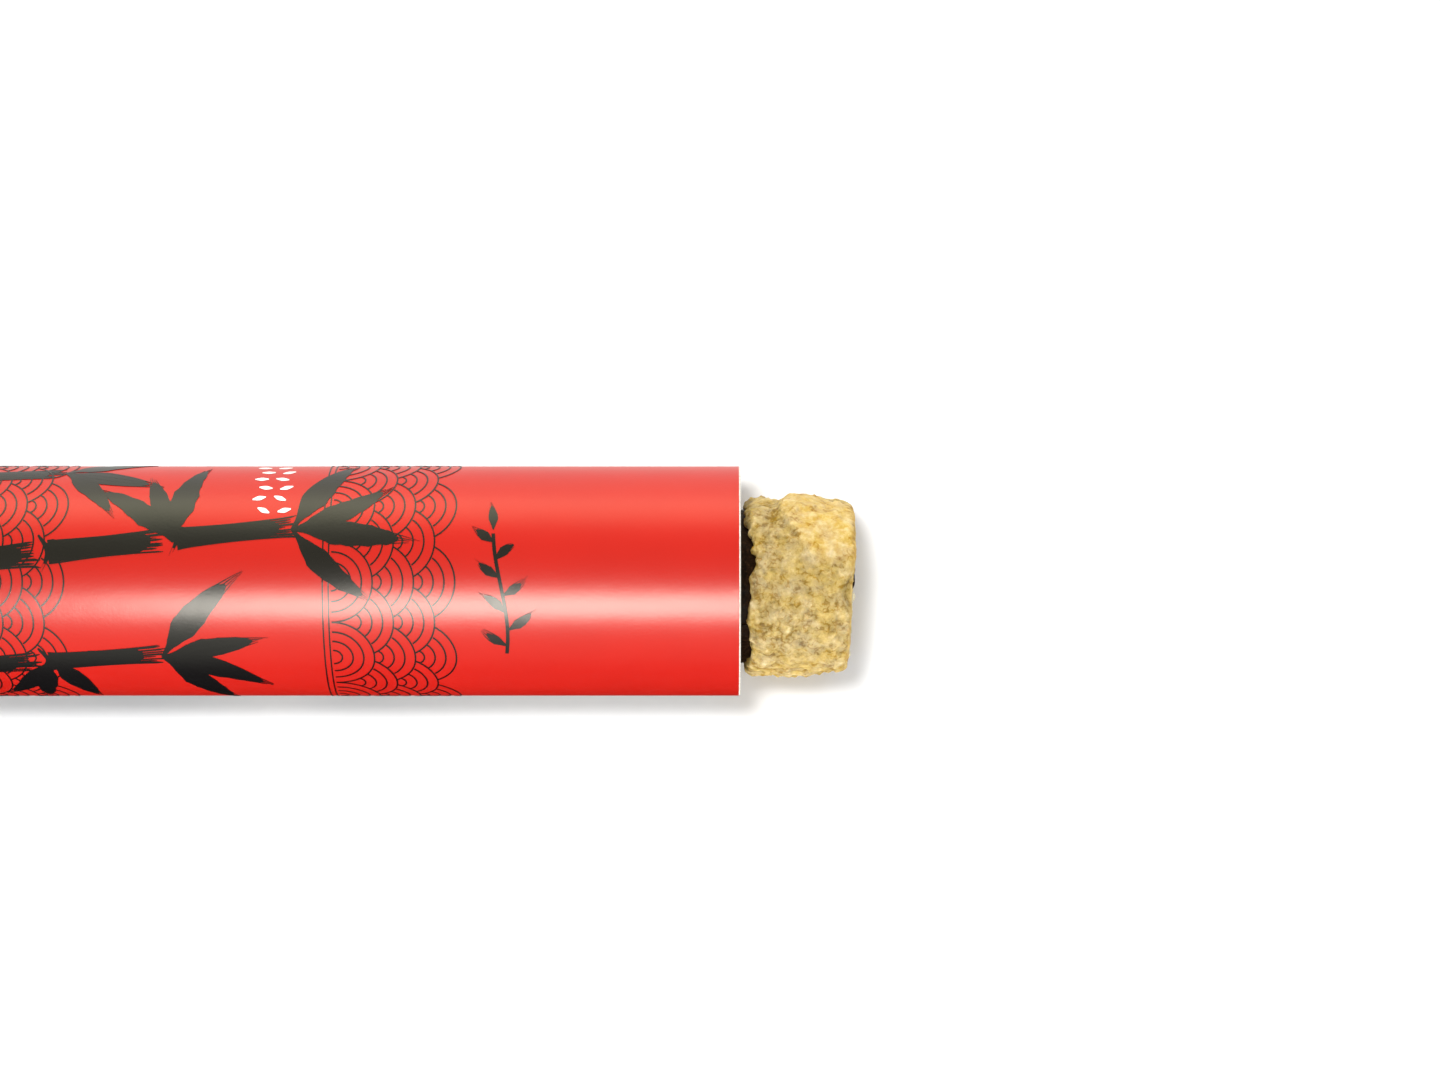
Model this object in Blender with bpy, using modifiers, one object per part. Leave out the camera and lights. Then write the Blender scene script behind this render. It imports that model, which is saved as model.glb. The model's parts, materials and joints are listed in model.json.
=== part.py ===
"""Sushi pop: a red paper tube lying on its side, filled with a fried sushi roll cut into slices.

The first slice has been pushed out of the mouth and rests on the surface beside it, with the end of
its seaweed and rice still inside the tube. Metres, +Z up. X runs along the tube towards its mouth,
and the origin is the middle of the narrow flat that the tube rests on.
"""

import math
import random

import bpy
from mathutils import Vector, noise

MM = 0.001
GAP = 0.3 * MM

SHARP_ANGLE = math.radians(40)

# The paper tube
TUBE_LENGTH = 240 * MM
TUBE_DIAMETER = 52 * MM
WALL = 1.2 * MM
REST_FLAT_WIDTH = 8 * MM
TUBE_STEPS = 96
BASE_RECESS = 2.5 * MM
BASE_THICKNESS = 1.2 * MM
BASE_SKIRT = 0.8 * MM

# The slice outside the mouth, and the row of slices behind it
SLICE_REACH = 25.8 * MM
NECK_DEPTH = 3.6 * MM
SLICE_SIDE_SHIFT = -1.15 * MM
SLICE_CENTRE_HEIGHT = 22.3 * MM
SLICE_LOWEST = 0.3 * MM
CRUST_STEPS = 120
CRUST_ROWS = 18
NORI_THICKNESS = 0.5 * MM
WRAP_STEPS = 41
FLAP_STEPS = 28
FLAP_ROWS = 8
TEAR_DEPTH = 5 * MM
ROW_SLICE_LENGTH = 29 * MM
ROW_CENTRE_RISE = -0.5 * MM
ROW_STEPS = 40

TUBE_RADIUS = TUBE_DIAMETER / 2
BORE_RADIUS = TUBE_RADIUS - WALL
AXIS_HEIGHT = math.sqrt(TUBE_RADIUS**2 - (REST_FLAT_WIDTH / 2) ** 2)
MOUTH_X = TUBE_LENGTH / 2
FAR_X = -TUBE_LENGTH / 2
CUT_X = MOUTH_X + SLICE_REACH
NECK_X = MOUTH_X - NECK_DEPTH

# Outlines seen from the mouth, as (angle in degrees, radius in mm) about the slice's middle.
# Angle 0 points to +Y and 90 points up.
CRUST_OUTLINE = (
    (8, 18.9), (28, 19.3), (46, 19.8), (64, 20.1), (82, 20.6), (100, 21.8), (122, 22.0),
    (140, 21.7), (158, 21.1), (178, 21.1), (199, 21.8), (214, 24.6), (227, 27.3), (239, 25.2),
    (260, 22.2), (283, 22.3), (301, 24.0), (314, 25.3), (326, 23.4), (340, 21.4), (353, 19.6),
)
NORI_WRAP_PATH = (
    (230, 13.3), (250, 14.4), (268, 15.7), (285, 16.5), (305, 17.3), (325, 17.8), (345, 17.3),
    (365, 16.7), (385, 16.2), (405, 16.1), (425, 16.3), (445, 16.8), (465, 17.6), (477, 18.1),
)
NORI_FLAP_PATH = (
    (538, 16.7), (550, 17.4), (565, 18.9), (580, 20.1), (592, 20.0), (606, 18.9), (620, 17.9),
    (632, 17.3), (646, 17.35),
)
FILLING_CENTRE = (-0.4 * MM, 1.8 * MM)
FILLING_OUTLINE = (
    (0, 10.8), (35, 10.6), (70, 10.3), (105, 10.0), (140, 10.9), (180, 10.6), (215, 11.6),
    (240, 12.3), (262, 10.2), (290, 9.9), (325, 10.6),
)
SHRIMP_CENTRE = (-1.8 * MM, -0.9 * MM)
SHRIMP_OUTLINE = (
    (0, 5.9), (45, 7.0), (90, 6.1), (135, 6.8), (180, 6.1), (225, 6.9), (270, 5.7), (315, 6.8),
)

# Lumps of the batter, as (height in mm, size in mm, noise seed)
CRUST_LUMPS = ((0.85, 9, 3.1), (0.75, 4.5, 7.7), (0.55, 2.6, 12.9))
CRUST_EDGE_LUMPS = ((1.0, 5, 21), (1.3, 2.2, 5))
ROW_LUMPS = ((0.6, 6, 40),)
BARE_BAND = 1.0 * MM
BARE_BAND_ON_TOP = 2.4 * MM
BARE_BAND_LEAST = 0.6 * MM

# Rice grains fused on at the cut
GRAIN_HALF_LENGTH = 2.7 * MM
GRAIN_HALF_WIDTH = 1.25 * MM
GRAIN_TRIES = 4000
GRAIN_SPACING = 2.2 * MM
GRAIN_SEED = 11


def clear_scene():
    for obj in list(bpy.data.objects):
        bpy.data.objects.remove(obj)


def new_collection(name):
    collection = bpy.data.collections.new(name)
    bpy.context.scene.collection.children.link(collection)
    return collection


def new_material(name, colour, roughness):
    material = bpy.data.materials.new(name)
    material.use_nodes = True
    shader = material.node_tree.nodes["Principled BSDF"]
    shader.inputs["Base Color"].default_value = (*colour, 1.0)
    shader.inputs["Roughness"].default_value = roughness
    return material


def add_object(name, mesh, collection, material=None):
    obj = bpy.data.objects.new(name, mesh)
    collection.objects.link(obj)
    if material:
        mesh.materials.append(material)
    return obj


def as_helper(obj, collection):
    """Makes an object a cutter or a guide, kept in the given collection only."""
    for owner in list(obj.users_collection):
        owner.objects.unlink(obj)
    collection.objects.link(obj)
    obj.hide_render = True
    obj.display_type = "WIRE"
    return obj


def shade_smooth(obj):
    obj.data.shade_smooth()
    obj.data.set_sharp_from_angle(angle=SHARP_ANGLE)


def apply_modifiers(obj):
    """Keeps the evaluated shape as the object's own mesh."""
    graph = bpy.context.evaluated_depsgraph_get()
    mesh = bpy.data.meshes.new_from_object(obj.evaluated_get(graph))
    obj.modifiers.clear()
    obj.data = mesh


def cut(obj, cutter):
    modifier = obj.modifiers.new("Cut", "BOOLEAN")
    modifier.operation = "DIFFERENCE"
    modifier.solver = "EXACT"
    modifier.object = cutter


def along(table, angle, period=None):
    """Radius in metres at an angle, on a smooth curve through a table's points."""
    points = list(table)
    if period:
        head = [(a - period, r) for a, r in points[-2:]]
        tail = [(a + period, r) for a, r in points[:2]]
        points = head + points + tail
        start = points[1][0]
        angle = (angle - start) % period + start
    else:
        points = [(2 * points[0][0] - points[1][0], points[0][1]), *points]
        points.append((2 * points[-1][0] - points[-2][0], points[-1][1]))
        angle = min(max(angle, points[1][0]), points[-2][0])
    for before, left, right, after in zip(points, points[1:], points[2:], points[3:]):
        if left[0] <= angle <= right[0]:
            break
    span = right[0] - left[0]
    t = (angle - left[0]) / span
    slope_left = (right[1] - before[1]) / (right[0] - before[0]) * span
    slope_right = (after[1] - left[1]) / (after[0] - left[0]) * span
    value = (
        (2 * t**3 - 3 * t**2 + 1) * left[1]
        + (t**3 - 2 * t**2 + t) * slope_left
        + (3 * t**2 - 2 * t**3) * right[1]
        + (t**3 - t**2) * slope_right
    )
    return value * MM


def crust_radius(angle):
    return along(CRUST_OUTLINE, angle, 360)


def wrap_radius(angle):
    return along(NORI_WRAP_PATH, angle)


def flap_radius(angle):
    return along(NORI_FLAP_PATH, angle)


FLAP_START = NORI_FLAP_PATH[0][0] - 360
FLAP_END = NORI_FLAP_PATH[-1][0] - 360
WRAP_END = NORI_WRAP_PATH[-1][0] - 360
SEAM = 1.4
STEP_DOWN = 14
FOLD_END = 262
FOLD_CLOSED = 270


def outer_nori_radius(angle):
    """Middle of the outermost seaweed at an angle. Where the sheet is torn, the rice carries on."""
    angle %= 360
    if FLAP_START <= angle <= FLAP_END:
        return flap_radius(angle + 360)
    if WRAP_END < angle < FLAP_START:
        share = (angle - WRAP_END) / (FLAP_START - WRAP_END)
        ends = wrap_radius(WRAP_END + 360), flap_radius(FLAP_START + 360)
        return ends[0] + (ends[1] - ends[0]) * share + 0.5 * MM * math.sin(math.pi * share)
    wrap = wrap_radius(angle if angle > FLAP_END else angle + 360)
    past_flap = angle - FLAP_END
    if past_flap > 0:
        share = min(max((past_flap - 4) / STEP_DOWN, 0), 1)
        wrap += (flap_radius(FLAP_END + 360) - wrap) * (1 - share)
    return wrap


def rice_radius(angle):
    """Outside of the rice: inside the wrap, and out to the flap in the fold below it."""
    angle %= 360
    inset = NORI_THICKNESS / 2 + GAP
    if angle <= FOLD_END:
        return outer_nori_radius(angle) - inset
    inner = wrap_radius(angle) - inset
    share = min((angle - FOLD_END) / (FOLD_CLOSED - FOLD_END), 1)
    return max((flap_radius(FOLD_END + 360) - inset) * (1 - share) + inner * share, inner)


def point_at(x, angle, radius, centre=(0.0, 0.0)):
    """A point of the first slice, from polar coordinates about its middle."""
    turn = math.radians(angle)
    return (
        x,
        SLICE_SIDE_SHIFT + centre[0] + radius * math.cos(turn),
        SLICE_CENTRE_HEIGHT + centre[1] + radius * math.sin(turn),
    )


def even_angles(count):
    return [360 * i / count for i in range(count)]


def loft(name, rings, collection, material=None, joined=False):
    """A closed solid through rings of equal length. Its ends are capped, or joined to each other."""
    count = len(rings[0])
    points = [point for ring in rings for point in ring]
    pairs = list(zip(range(len(rings)), range(1, len(rings))))
    if joined:
        pairs.append((len(rings) - 1, 0))
    faces = [
        (a * count + i, a * count + (i + 1) % count, b * count + (i + 1) % count, b * count + i)
        for a, b in pairs
        for i in range(count)
    ]
    if not joined:
        last = (len(rings) - 1) * count
        faces.append(tuple(reversed(range(count))))
        faces.append(tuple(range(last, last + count)))
    mesh = bpy.data.meshes.new(name)
    mesh.from_pydata(points, [], faces)
    mesh.update()
    obj = add_object(name, mesh, collection, material)
    shade_smooth(obj)
    return obj


def turned(name, profile, collection, material=None):
    """A profile of (radius, height) points, turned about Z and then laid along +X."""
    mesh = bpy.data.meshes.new(name)
    points = [(radius, 0, height) for radius, height in profile]
    edges = [(i, i + 1) for i in range(len(points) - 1)]
    if profile[0][0] > 0:
        edges.append((len(points) - 1, 0))
    mesh.from_pydata(points, edges, [])
    obj = add_object(name, mesh, collection, material)
    screw = obj.modifiers.new("Turn", "SCREW")
    screw.steps = screw.render_steps = TUBE_STEPS
    screw.use_merge_vertices = True
    screw.merge_threshold = 0.00001
    obj.location.z = AXIS_HEIGHT
    obj.rotation_euler.y = math.radians(90)
    return obj


def build_tube(parts, cutters, material):
    profile = (
        (TUBE_RADIUS, MOUTH_X),
        (TUBE_RADIUS, FAR_X),
        (BORE_RADIUS, FAR_X),
        (BORE_RADIUS, MOUTH_X),
    )
    tube = turned("tube", profile, parts, material)
    bpy.ops.mesh.primitive_cube_add(size=TUBE_DIAMETER, location=(0, 0, -TUBE_RADIUS))
    block = bpy.context.object
    block.name = "rest_flat_cutter"
    block.scale.x = 2 * TUBE_LENGTH / TUBE_DIAMETER
    block.scale.y = 2
    cut(tube, as_helper(block, cutters))


def build_base(parts, material):
    """The paper disc that closes the far end, with a short skirt against the wall."""
    radius = BORE_RADIUS - GAP
    outer_face = FAR_X + BASE_RECESS
    inner_face = outer_face + BASE_THICKNESS
    skirt_end = FAR_X + GAP
    profile = (
        (0, inner_face),
        (radius, inner_face),
        (radius, skirt_end),
        (radius - BASE_SKIRT, skirt_end),
        (radius - BASE_SKIRT, outer_face),
        (0, outer_face),
    )
    turned("base_disc", profile, parts, material)


def lumps(table, x, angle, radius):
    """Height of a table's lumps at a point of a round surface, in metres."""
    turn = math.radians(angle)
    place = Vector((x, radius * math.cos(turn), radius * math.sin(turn))) / MM
    return MM * sum(
        height * noise.noise(place / size + Vector((seed, seed * 0.7, -seed)))
        for height, size, seed in table
    )


def bump(value, centre, width):
    return math.exp(-(((value - centre) / width) ** 2))


def signed(angle):
    """The angle between -180 and 180."""
    return (angle + 180) % 360 - 180


def crust_relief(x, angle):
    """How far the batter stands out from its plain outline, in metres."""
    out = x - MOUTH_X
    right = bump(signed(angle), 10, 30)
    left = bump(angle % 360, 188, 34)
    right_swell = 2.0 * bump(out, 13 * MM, 4.5 * MM) - 0.6 * bump(out, 6.5 * MM, 2.5 * MM)
    left_swell = 0.2 * bump(out, 13 * MM, 4 * MM) - 0.6 * bump(out, 3 * MM, 2 * MM) - 0.5
    nugget = 1.1 * bump(signed(angle), 46, 22) * bump(out, 18 * MM, 7 * MM)
    swell = right * right_swell + left * left_swell + nugget
    return swell * MM + lumps(CRUST_LUMPS, x, angle, crust_radius(angle))


def crust_back_x(angle):
    """The broken edge of the batter, which leaves a band of seaweed bare at the mouth."""
    on_top = 1 / (1 + (signed(angle - 98) / 50) ** 8)
    ragged = lumps(CRUST_EDGE_LUMPS, 0, angle, TUBE_RADIUS)
    return MOUTH_X + max(BARE_BAND + BARE_BAND_ON_TOP * on_top + ragged, BARE_BAND_LEAST)


def crust_front_x(angle):
    """The cut end of the batter. It stands out most at the upper right."""
    return CUT_X - (0.4 - 0.4 * bump(signed(angle), 45, 45)) * MM


def build_crust(parts, material):
    """Batter round the slice, as a ring lofted forward outside and back along the seaweed."""
    angles = even_angles(CRUST_STEPS)
    lowest = SLICE_LOWEST - SLICE_CENTRE_HEIGHT

    def edge_round(angle):
        return (1.9 + 2.1 * bump(signed(angle), 0, 40)) * MM

    def outer_point(share, angle):
        back = crust_back_x(angle)
        x = back + (crust_front_x(angle) - edge_round(angle) - back) * share
        radius = crust_radius(angle) + crust_relief(x, angle) * min(1.0, 0.35 + 4 * share)
        radius -= 1.0 * MM * bump(share, 0, 0.05)
        sine = math.sin(math.radians(angle))
        if radius * sine < lowest:
            radius = lowest / sine
        return x, radius

    def inner_radius(angle):
        return outer_nori_radius(angle) + NORI_THICKNESS / 2 + GAP

    def inner_radius_at_cut(angle):
        middle = (WRAP_END + FLAP_START) / 2
        reach = (FLAP_START - WRAP_END) / 2 - 4
        closed = min(max((reach - abs(angle - middle)) / 6, 0), 1)
        return inner_radius(angle) - (NORI_THICKNESS + GAP) * closed

    rings = []
    for row in range(CRUST_ROWS):
        share = row / (CRUST_ROWS - 1)
        places = [(*outer_point(share, angle), angle) for angle in angles]
        rings.append([point_at(x, angle, radius) for x, radius, angle in places])
    for lean in (30, 60, 90):
        sine, cosine = math.sin(math.radians(lean)), math.cos(math.radians(lean))
        ring = []
        for angle in angles:
            x, radius = outer_point(1, angle)
            drop = min(edge_round(angle), (radius - inner_radius(angle)) * 0.7)
            ring.append(point_at(x + edge_round(angle) * sine, angle, radius - drop * (1 - cosine)))
        rings.append(ring)
    rings.append([point_at(crust_front_x(a), a, inner_radius_at_cut(a)) for a in angles])
    rings.append([point_at(CUT_X - TEAR_DEPTH, a, inner_radius(a)) for a in angles])
    rings.append([point_at(crust_back_x(a), a, inner_radius(a)) for a in angles])
    return loft("batter_crust", rings, parts, material, joined=True)


def add_sheet(name, rows, collection, material, thickness, torn=None):
    """An open surface through rows of points, given its thickness. Torn cells are left out."""
    width = len(rows[0])
    faces = [
        (a * width + i, a * width + i + 1, (a + 1) * width + i + 1, (a + 1) * width + i)
        for a in range(len(rows) - 1)
        for i in range(width - 1)
        if torn is None or not torn(a, i)
    ]
    mesh = bpy.data.meshes.new(name)
    mesh.from_pydata([point for row in rows for point in row], [], faces)
    mesh.validate()
    obj = add_object(name, mesh, collection, material)
    solidify = obj.modifiers.new("Sheet", "SOLIDIFY")
    solidify.thickness = thickness
    solidify.offset = 0
    return obj


def wrap_rows(start_x, end_x):
    first, last = NORI_WRAP_PATH[0][0], NORI_WRAP_PATH[-1][0]
    angles = [first + (last - first) * i / WRAP_STEPS for i in range(WRAP_STEPS + 1)]
    return [[point_at(x, a, wrap_radius(a)) for a in angles] for x in (start_x, end_x)]


def build_nori(parts, material):
    """The wrap coils round the rice. The flap laps it, and is torn away on top near the cut."""
    rows = wrap_rows(NECK_X, CUT_X - GAP)
    add_sheet("nori_wrap", rows, parts, material, NORI_THICKNESS)
    start = WRAP_END + SEAM
    angles = [start + (FLAP_END - start) * i / FLAP_STEPS for i in range(FLAP_STEPS + 1)]
    length = CUT_X - GAP - NECK_X
    stations = [NECK_X + length * row / FLAP_ROWS for row in range(FLAP_ROWS + 1)]
    rows = [[point_at(x, a, outer_nori_radius(a)) for a in angles] for x in stations]

    def torn(row, step):
        torn_share = (stations[row + 1] - CUT_X + 2.6 * TEAR_DEPTH) / (1.5 * TEAR_DEPTH)
        ragged = 4 * math.sin(2.4 * row)
        return angles[step] < start + (FLAP_START - start) * min(torn_share, 1) + ragged - 4

    add_sheet("nori_flap", rows, parts, material, NORI_THICKNESS, torn)


def filled_prism(name, outline, start, end, centre, collection, material=None, grow=0.0, dome=0.0):
    """A solid of one outline from start to end, with its front face crowned by dome."""
    angles = even_angles(40)

    def ring(x, share):
        return [
            point_at(x, angle, (along(outline, angle, 360) + grow) * share, centre)
            for angle in angles
        ]

    rings = [ring(start, 1), ring(end - 0.6 * dome, 1)]
    if dome:
        rings += [ring(end - 0.2 * dome, 0.85), ring(end, 0.5)]
    return loft(name, rings, collection, material)


def grain_spots():
    """Seeded places of rice grains on the cut, clear of the seaweed and the filling."""
    rng = random.Random(GRAIN_SEED)
    spots = []

    def in_rice(y, z, margin):
        angle = math.degrees(math.atan2(z, y))
        if math.hypot(y, z) > rice_radius(angle) - margin:
            return False
        fy, fz = y - FILLING_CENTRE[0], z - FILLING_CENTRE[1]
        from_filling = math.hypot(fy, fz) - along(
            FILLING_OUTLINE, math.degrees(math.atan2(fz, fy)), 360
        )
        return from_filling > margin + GAP

    reach = 20 * MM
    tip = GRAIN_HALF_LENGTH - GRAIN_HALF_WIDTH
    for _ in range(GRAIN_TRIES):
        y, z = rng.uniform(-reach, reach), rng.uniform(-reach, reach)
        lean, size = rng.uniform(0, math.pi), rng.uniform(0.85, 1.05)
        ends = [
            (y + side * tip * math.cos(lean), z + side * tip * math.sin(lean)) for side in (-1, 1)
        ]
        if not all(in_rice(*end, GRAIN_HALF_WIDTH * size) for end in ends):
            continue
        if all(math.hypot(y - other[0], z - other[1]) > GRAIN_SPACING for other in spots):
            spots.append((y, z, lean, size, rng.uniform(-0.35, 0.35)))
    return spots


def add_grains(collection):
    """Grains of rice as small long spheres, lying in the cut."""
    for index, (y, z, lean, size, tilt) in enumerate(grain_spots()):
        bpy.ops.mesh.primitive_uv_sphere_add(segments=6, ring_count=4, radius=1)
        grain = bpy.context.object
        grain.name = f"grain_{index}"
        grain.scale = (
            GRAIN_HALF_WIDTH * size,
            GRAIN_HALF_WIDTH * size,
            GRAIN_HALF_LENGTH * size,
        )
        grain.rotation_euler = (lean - math.pi / 2, tilt, 0)
        depth = (1.15 + 0.35 * math.sin(7 * index)) * MM
        grain.location = (CUT_X - depth, SLICE_SIDE_SHIFT + y, SLICE_CENTRE_HEIGHT + z)
        as_helper(grain, collection)


def build_rice(parts, cutters, material):
    """Rice inside the seaweed: a core with a row of grains fused on where it is cut."""
    angles = even_angles(72)
    front = CUT_X - 1.3 * MM
    rings = [
        [point_at(x, angle, rice_radius(angle)) for angle in angles]
        for x in (NECK_X + GAP, front)
    ]
    rice = loft("sushi_rice", rings, parts, material)
    grains = new_collection("grains")
    add_grains(grains)
    union = rice.modifiers.new("Grains", "BOOLEAN")
    union.operation = "UNION"
    union.operand_type = "COLLECTION"
    union.solver = "EXACT"
    union.collection = grains
    apply_modifiers(rice)
    for grain in list(grains.objects):
        bpy.data.objects.remove(grain)
    bpy.data.collections.remove(grains)

    past = 5 * MM
    hole = filled_prism(
        "filling_cutter", FILLING_OUTLINE, NECK_X - past, CUT_X + past, FILLING_CENTRE,
        cutters, grow=GAP,
    )
    rows = wrap_rows(NECK_X - past, CUT_X + past)
    slot = add_sheet("fold_cutter", rows, cutters, None, NORI_THICKNESS + 2 * GAP)
    for cutter in (hole, slot):
        cut(rice, as_helper(cutter, cutters))


def build_fillings(parts, cutters, batter, flesh):
    coat = filled_prism(
        "shrimp_batter", FILLING_OUTLINE, NECK_X + GAP, CUT_X - 0.2 * MM, FILLING_CENTRE,
        parts, batter, dome=0.5 * MM,
    )
    past = 5 * MM
    hole = filled_prism(
        "shrimp_cutter", SHRIMP_OUTLINE, NECK_X - past, CUT_X + past, SHRIMP_CENTRE,
        cutters, grow=GAP,
    )
    cut(coat, as_helper(hole, cutters))
    filled_prism(
        "shrimp", SHRIMP_OUTLINE, NECK_X + GAP, CUT_X + 0.3 * MM, SHRIMP_CENTRE,
        parts, flesh, dome=0.7 * MM,
    )


def build_row(parts, material):
    """The rest of the roll in the tube: slices end to end, squeezed into the bore."""
    start = FAR_X + BASE_RECESS + BASE_THICKNESS + GAP
    end = NECK_X - GAP
    slices = round((end - start) / ROW_SLICE_LENGTH)
    pitch = (end - start) / slices
    stations = []
    for index in range(slices):
        left = start + index * pitch
        stations += [(left, 1.3), (left + 0.06 * pitch, 0.1), (left + pitch * 0.5, 0)]
        stations.append((left + 0.94 * pitch, 0.1))
    stations += [(end, 1.3)]
    near_mouth = end - 0.25 * pitch
    stations = sorted({*stations, (near_mouth, 0)})
    angles = even_angles(ROW_STEPS)
    largest = BORE_RADIUS - 1.5 * GAP
    rings = []
    for x, groove in stations:
        ring = []
        for angle in angles:
            radius = crust_radius(angle) - groove * MM
            radius += lumps(ROW_LUMPS, x, angle, radius)
            turn = math.radians(angle)
            across, up = radius * math.cos(turn), ROW_CENTRE_RISE + radius * math.sin(turn)
            squeeze = min(1.0, (largest - 0.5 * groove * MM) / math.hypot(across, up))
            ring.append((x, across * squeeze, AXIS_HEIGHT + up * squeeze))
        rings.append(ring)
    loft("roll_in_tube", rings, parts, material)


def main():
    clear_scene()
    parts = new_collection("sushi_pop")
    cutters = new_collection("cutters")

    red_paper = new_material("red_coated_paper", (0.82, 0.035, 0.025), 0.28)
    grey_board = new_material("grey_paper_board", (0.55, 0.52, 0.48), 0.85)
    fried_batter = new_material("fried_batter", (0.62, 0.43, 0.15), 0.55)
    seaweed = new_material("toasted_seaweed", (0.012, 0.014, 0.010), 0.4)
    cooked_rice = new_material("cooked_rice", (0.80, 0.73, 0.52), 0.4)
    soaked_batter = new_material("soaked_yellow_batter", (0.93, 0.65, 0.20), 0.45)
    cooked_shrimp = new_material("cooked_shrimp", (0.95, 0.74, 0.60), 0.4)

    build_tube(parts, cutters, red_paper)
    build_base(parts, grey_board)
    build_row(parts, fried_batter)
    build_crust(parts, fried_batter)
    build_nori(parts, seaweed)
    build_rice(parts, cutters, cooked_rice)
    build_fillings(parts, cutters, soaked_batter, cooked_shrimp)


main()
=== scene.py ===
"""Sushi pop: the looks of a fried sushi roll in its red paper tube.

The CAD model gives every place and size. This script replaces its plain solids with the finished
pieces: the rolled paper tube and its printed label, the craggy batter, the seaweed, the rice and the
shrimp. Sizes are in millimetres where a name ends in _MM, and otherwise in metres, with +Z up.
"""

import json
import math
import random
from functools import partial

import bmesh
import bpy
import numpy as np
from bpy.props import FloatProperty, FloatVectorProperty, IntProperty, PointerProperty
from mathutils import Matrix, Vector, kdtree, noise

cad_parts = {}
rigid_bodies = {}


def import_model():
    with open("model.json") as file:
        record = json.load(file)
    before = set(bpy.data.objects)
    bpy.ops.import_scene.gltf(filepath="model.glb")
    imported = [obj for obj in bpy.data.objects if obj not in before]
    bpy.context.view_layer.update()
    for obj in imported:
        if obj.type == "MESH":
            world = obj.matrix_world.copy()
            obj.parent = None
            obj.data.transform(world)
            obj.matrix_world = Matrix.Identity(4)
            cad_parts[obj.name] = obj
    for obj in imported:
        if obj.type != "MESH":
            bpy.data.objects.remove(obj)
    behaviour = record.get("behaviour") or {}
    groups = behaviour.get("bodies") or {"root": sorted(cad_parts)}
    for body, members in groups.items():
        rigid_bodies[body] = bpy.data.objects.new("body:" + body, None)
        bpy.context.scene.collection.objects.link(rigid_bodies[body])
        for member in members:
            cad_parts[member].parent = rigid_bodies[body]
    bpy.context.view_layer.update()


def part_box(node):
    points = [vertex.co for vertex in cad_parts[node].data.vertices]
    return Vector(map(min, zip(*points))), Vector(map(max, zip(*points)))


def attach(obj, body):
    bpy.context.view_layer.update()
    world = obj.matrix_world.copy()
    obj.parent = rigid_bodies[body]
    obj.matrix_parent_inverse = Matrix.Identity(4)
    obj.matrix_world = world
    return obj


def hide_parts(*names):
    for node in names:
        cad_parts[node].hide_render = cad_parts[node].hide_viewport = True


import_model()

bl_info = {
    "name": "Sushi Pop",
    "version": (1, 0, 0),
    "blender": (4, 5, 0),
    "location": "View3D > Sidebar > Sushi Pop",
    "description": "Finishes a fried sushi roll in its printed paper tube",
    "category": "Object",
}

MM = 0.001
TUBE_LOW, TUBE_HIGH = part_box("tube")
RICE_LOW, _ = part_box("sushi_rice")
BASE_LOW, BASE_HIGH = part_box("base_disc")
ROW_LOW, ROW_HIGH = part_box("roll_in_tube")

# Where things lie, from the frame
MOUTH_X = TUBE_HIGH.x
FAR_X = TUBE_LOW.x
TUBE_RADIUS = (TUBE_HIGH.y - TUBE_LOW.y) / 2
AXIS_HEIGHT = TUBE_HIGH.z - TUBE_RADIUS
CUT_X = MOUTH_X + 25.8 * MM
NECK_X = MOUTH_X - 3.6 * MM
SLICE_MIDDLE = Vector((0, -1.15 * MM, 22.3 * MM))
SLICE_LOWEST = 0.3 * MM
FILLING_MIDDLE = (-0.4 * MM, 1.8 * MM)
SHRIMP_MIDDLE = (-1.8 * MM, -0.9 * MM)

# Outlines seen from the mouth, as (angle in degrees, radius in mm) about the slice's middle
CRUST_OUTLINE = (
    (8, 18.9), (28, 19.3), (46, 19.8), (64, 20.1), (82, 20.6), (100, 21.8), (122, 22.0),
    (140, 21.7), (158, 21.1), (178, 21.1), (199, 21.8), (214, 24.6), (227, 27.3), (239, 25.2),
    (260, 22.2), (283, 22.3), (301, 24.0), (314, 25.3), (326, 23.4), (340, 21.4), (353, 19.6),
)
NORI_WRAP_PATH = (
    (230, 13.3), (250, 14.4), (268, 15.7), (285, 16.5), (305, 17.3), (325, 17.8), (345, 17.3),
    (365, 16.7), (385, 16.2), (405, 16.1), (425, 16.3), (445, 16.8), (465, 17.6), (477, 18.1),
)
NORI_FLAP_PATH = (
    (538, 16.7), (550, 17.4), (565, 18.9), (580, 20.1), (592, 20.0), (606, 18.9), (620, 17.9),
    (632, 17.3), (646, 17.35),
)
FILLING_OUTLINE = (
    (0, 10.8), (35, 10.6), (70, 10.3), (105, 10.0), (140, 10.9), (180, 10.6), (215, 11.6),
    (240, 12.3), (262, 10.2), (290, 9.9), (325, 10.6),
)
SHRIMP_OUTLINE = (
    (0, 5.9), (45, 7.0), (90, 6.1), (135, 6.8), (180, 6.1), (225, 6.9), (270, 5.7), (315, 6.8),
)
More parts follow.
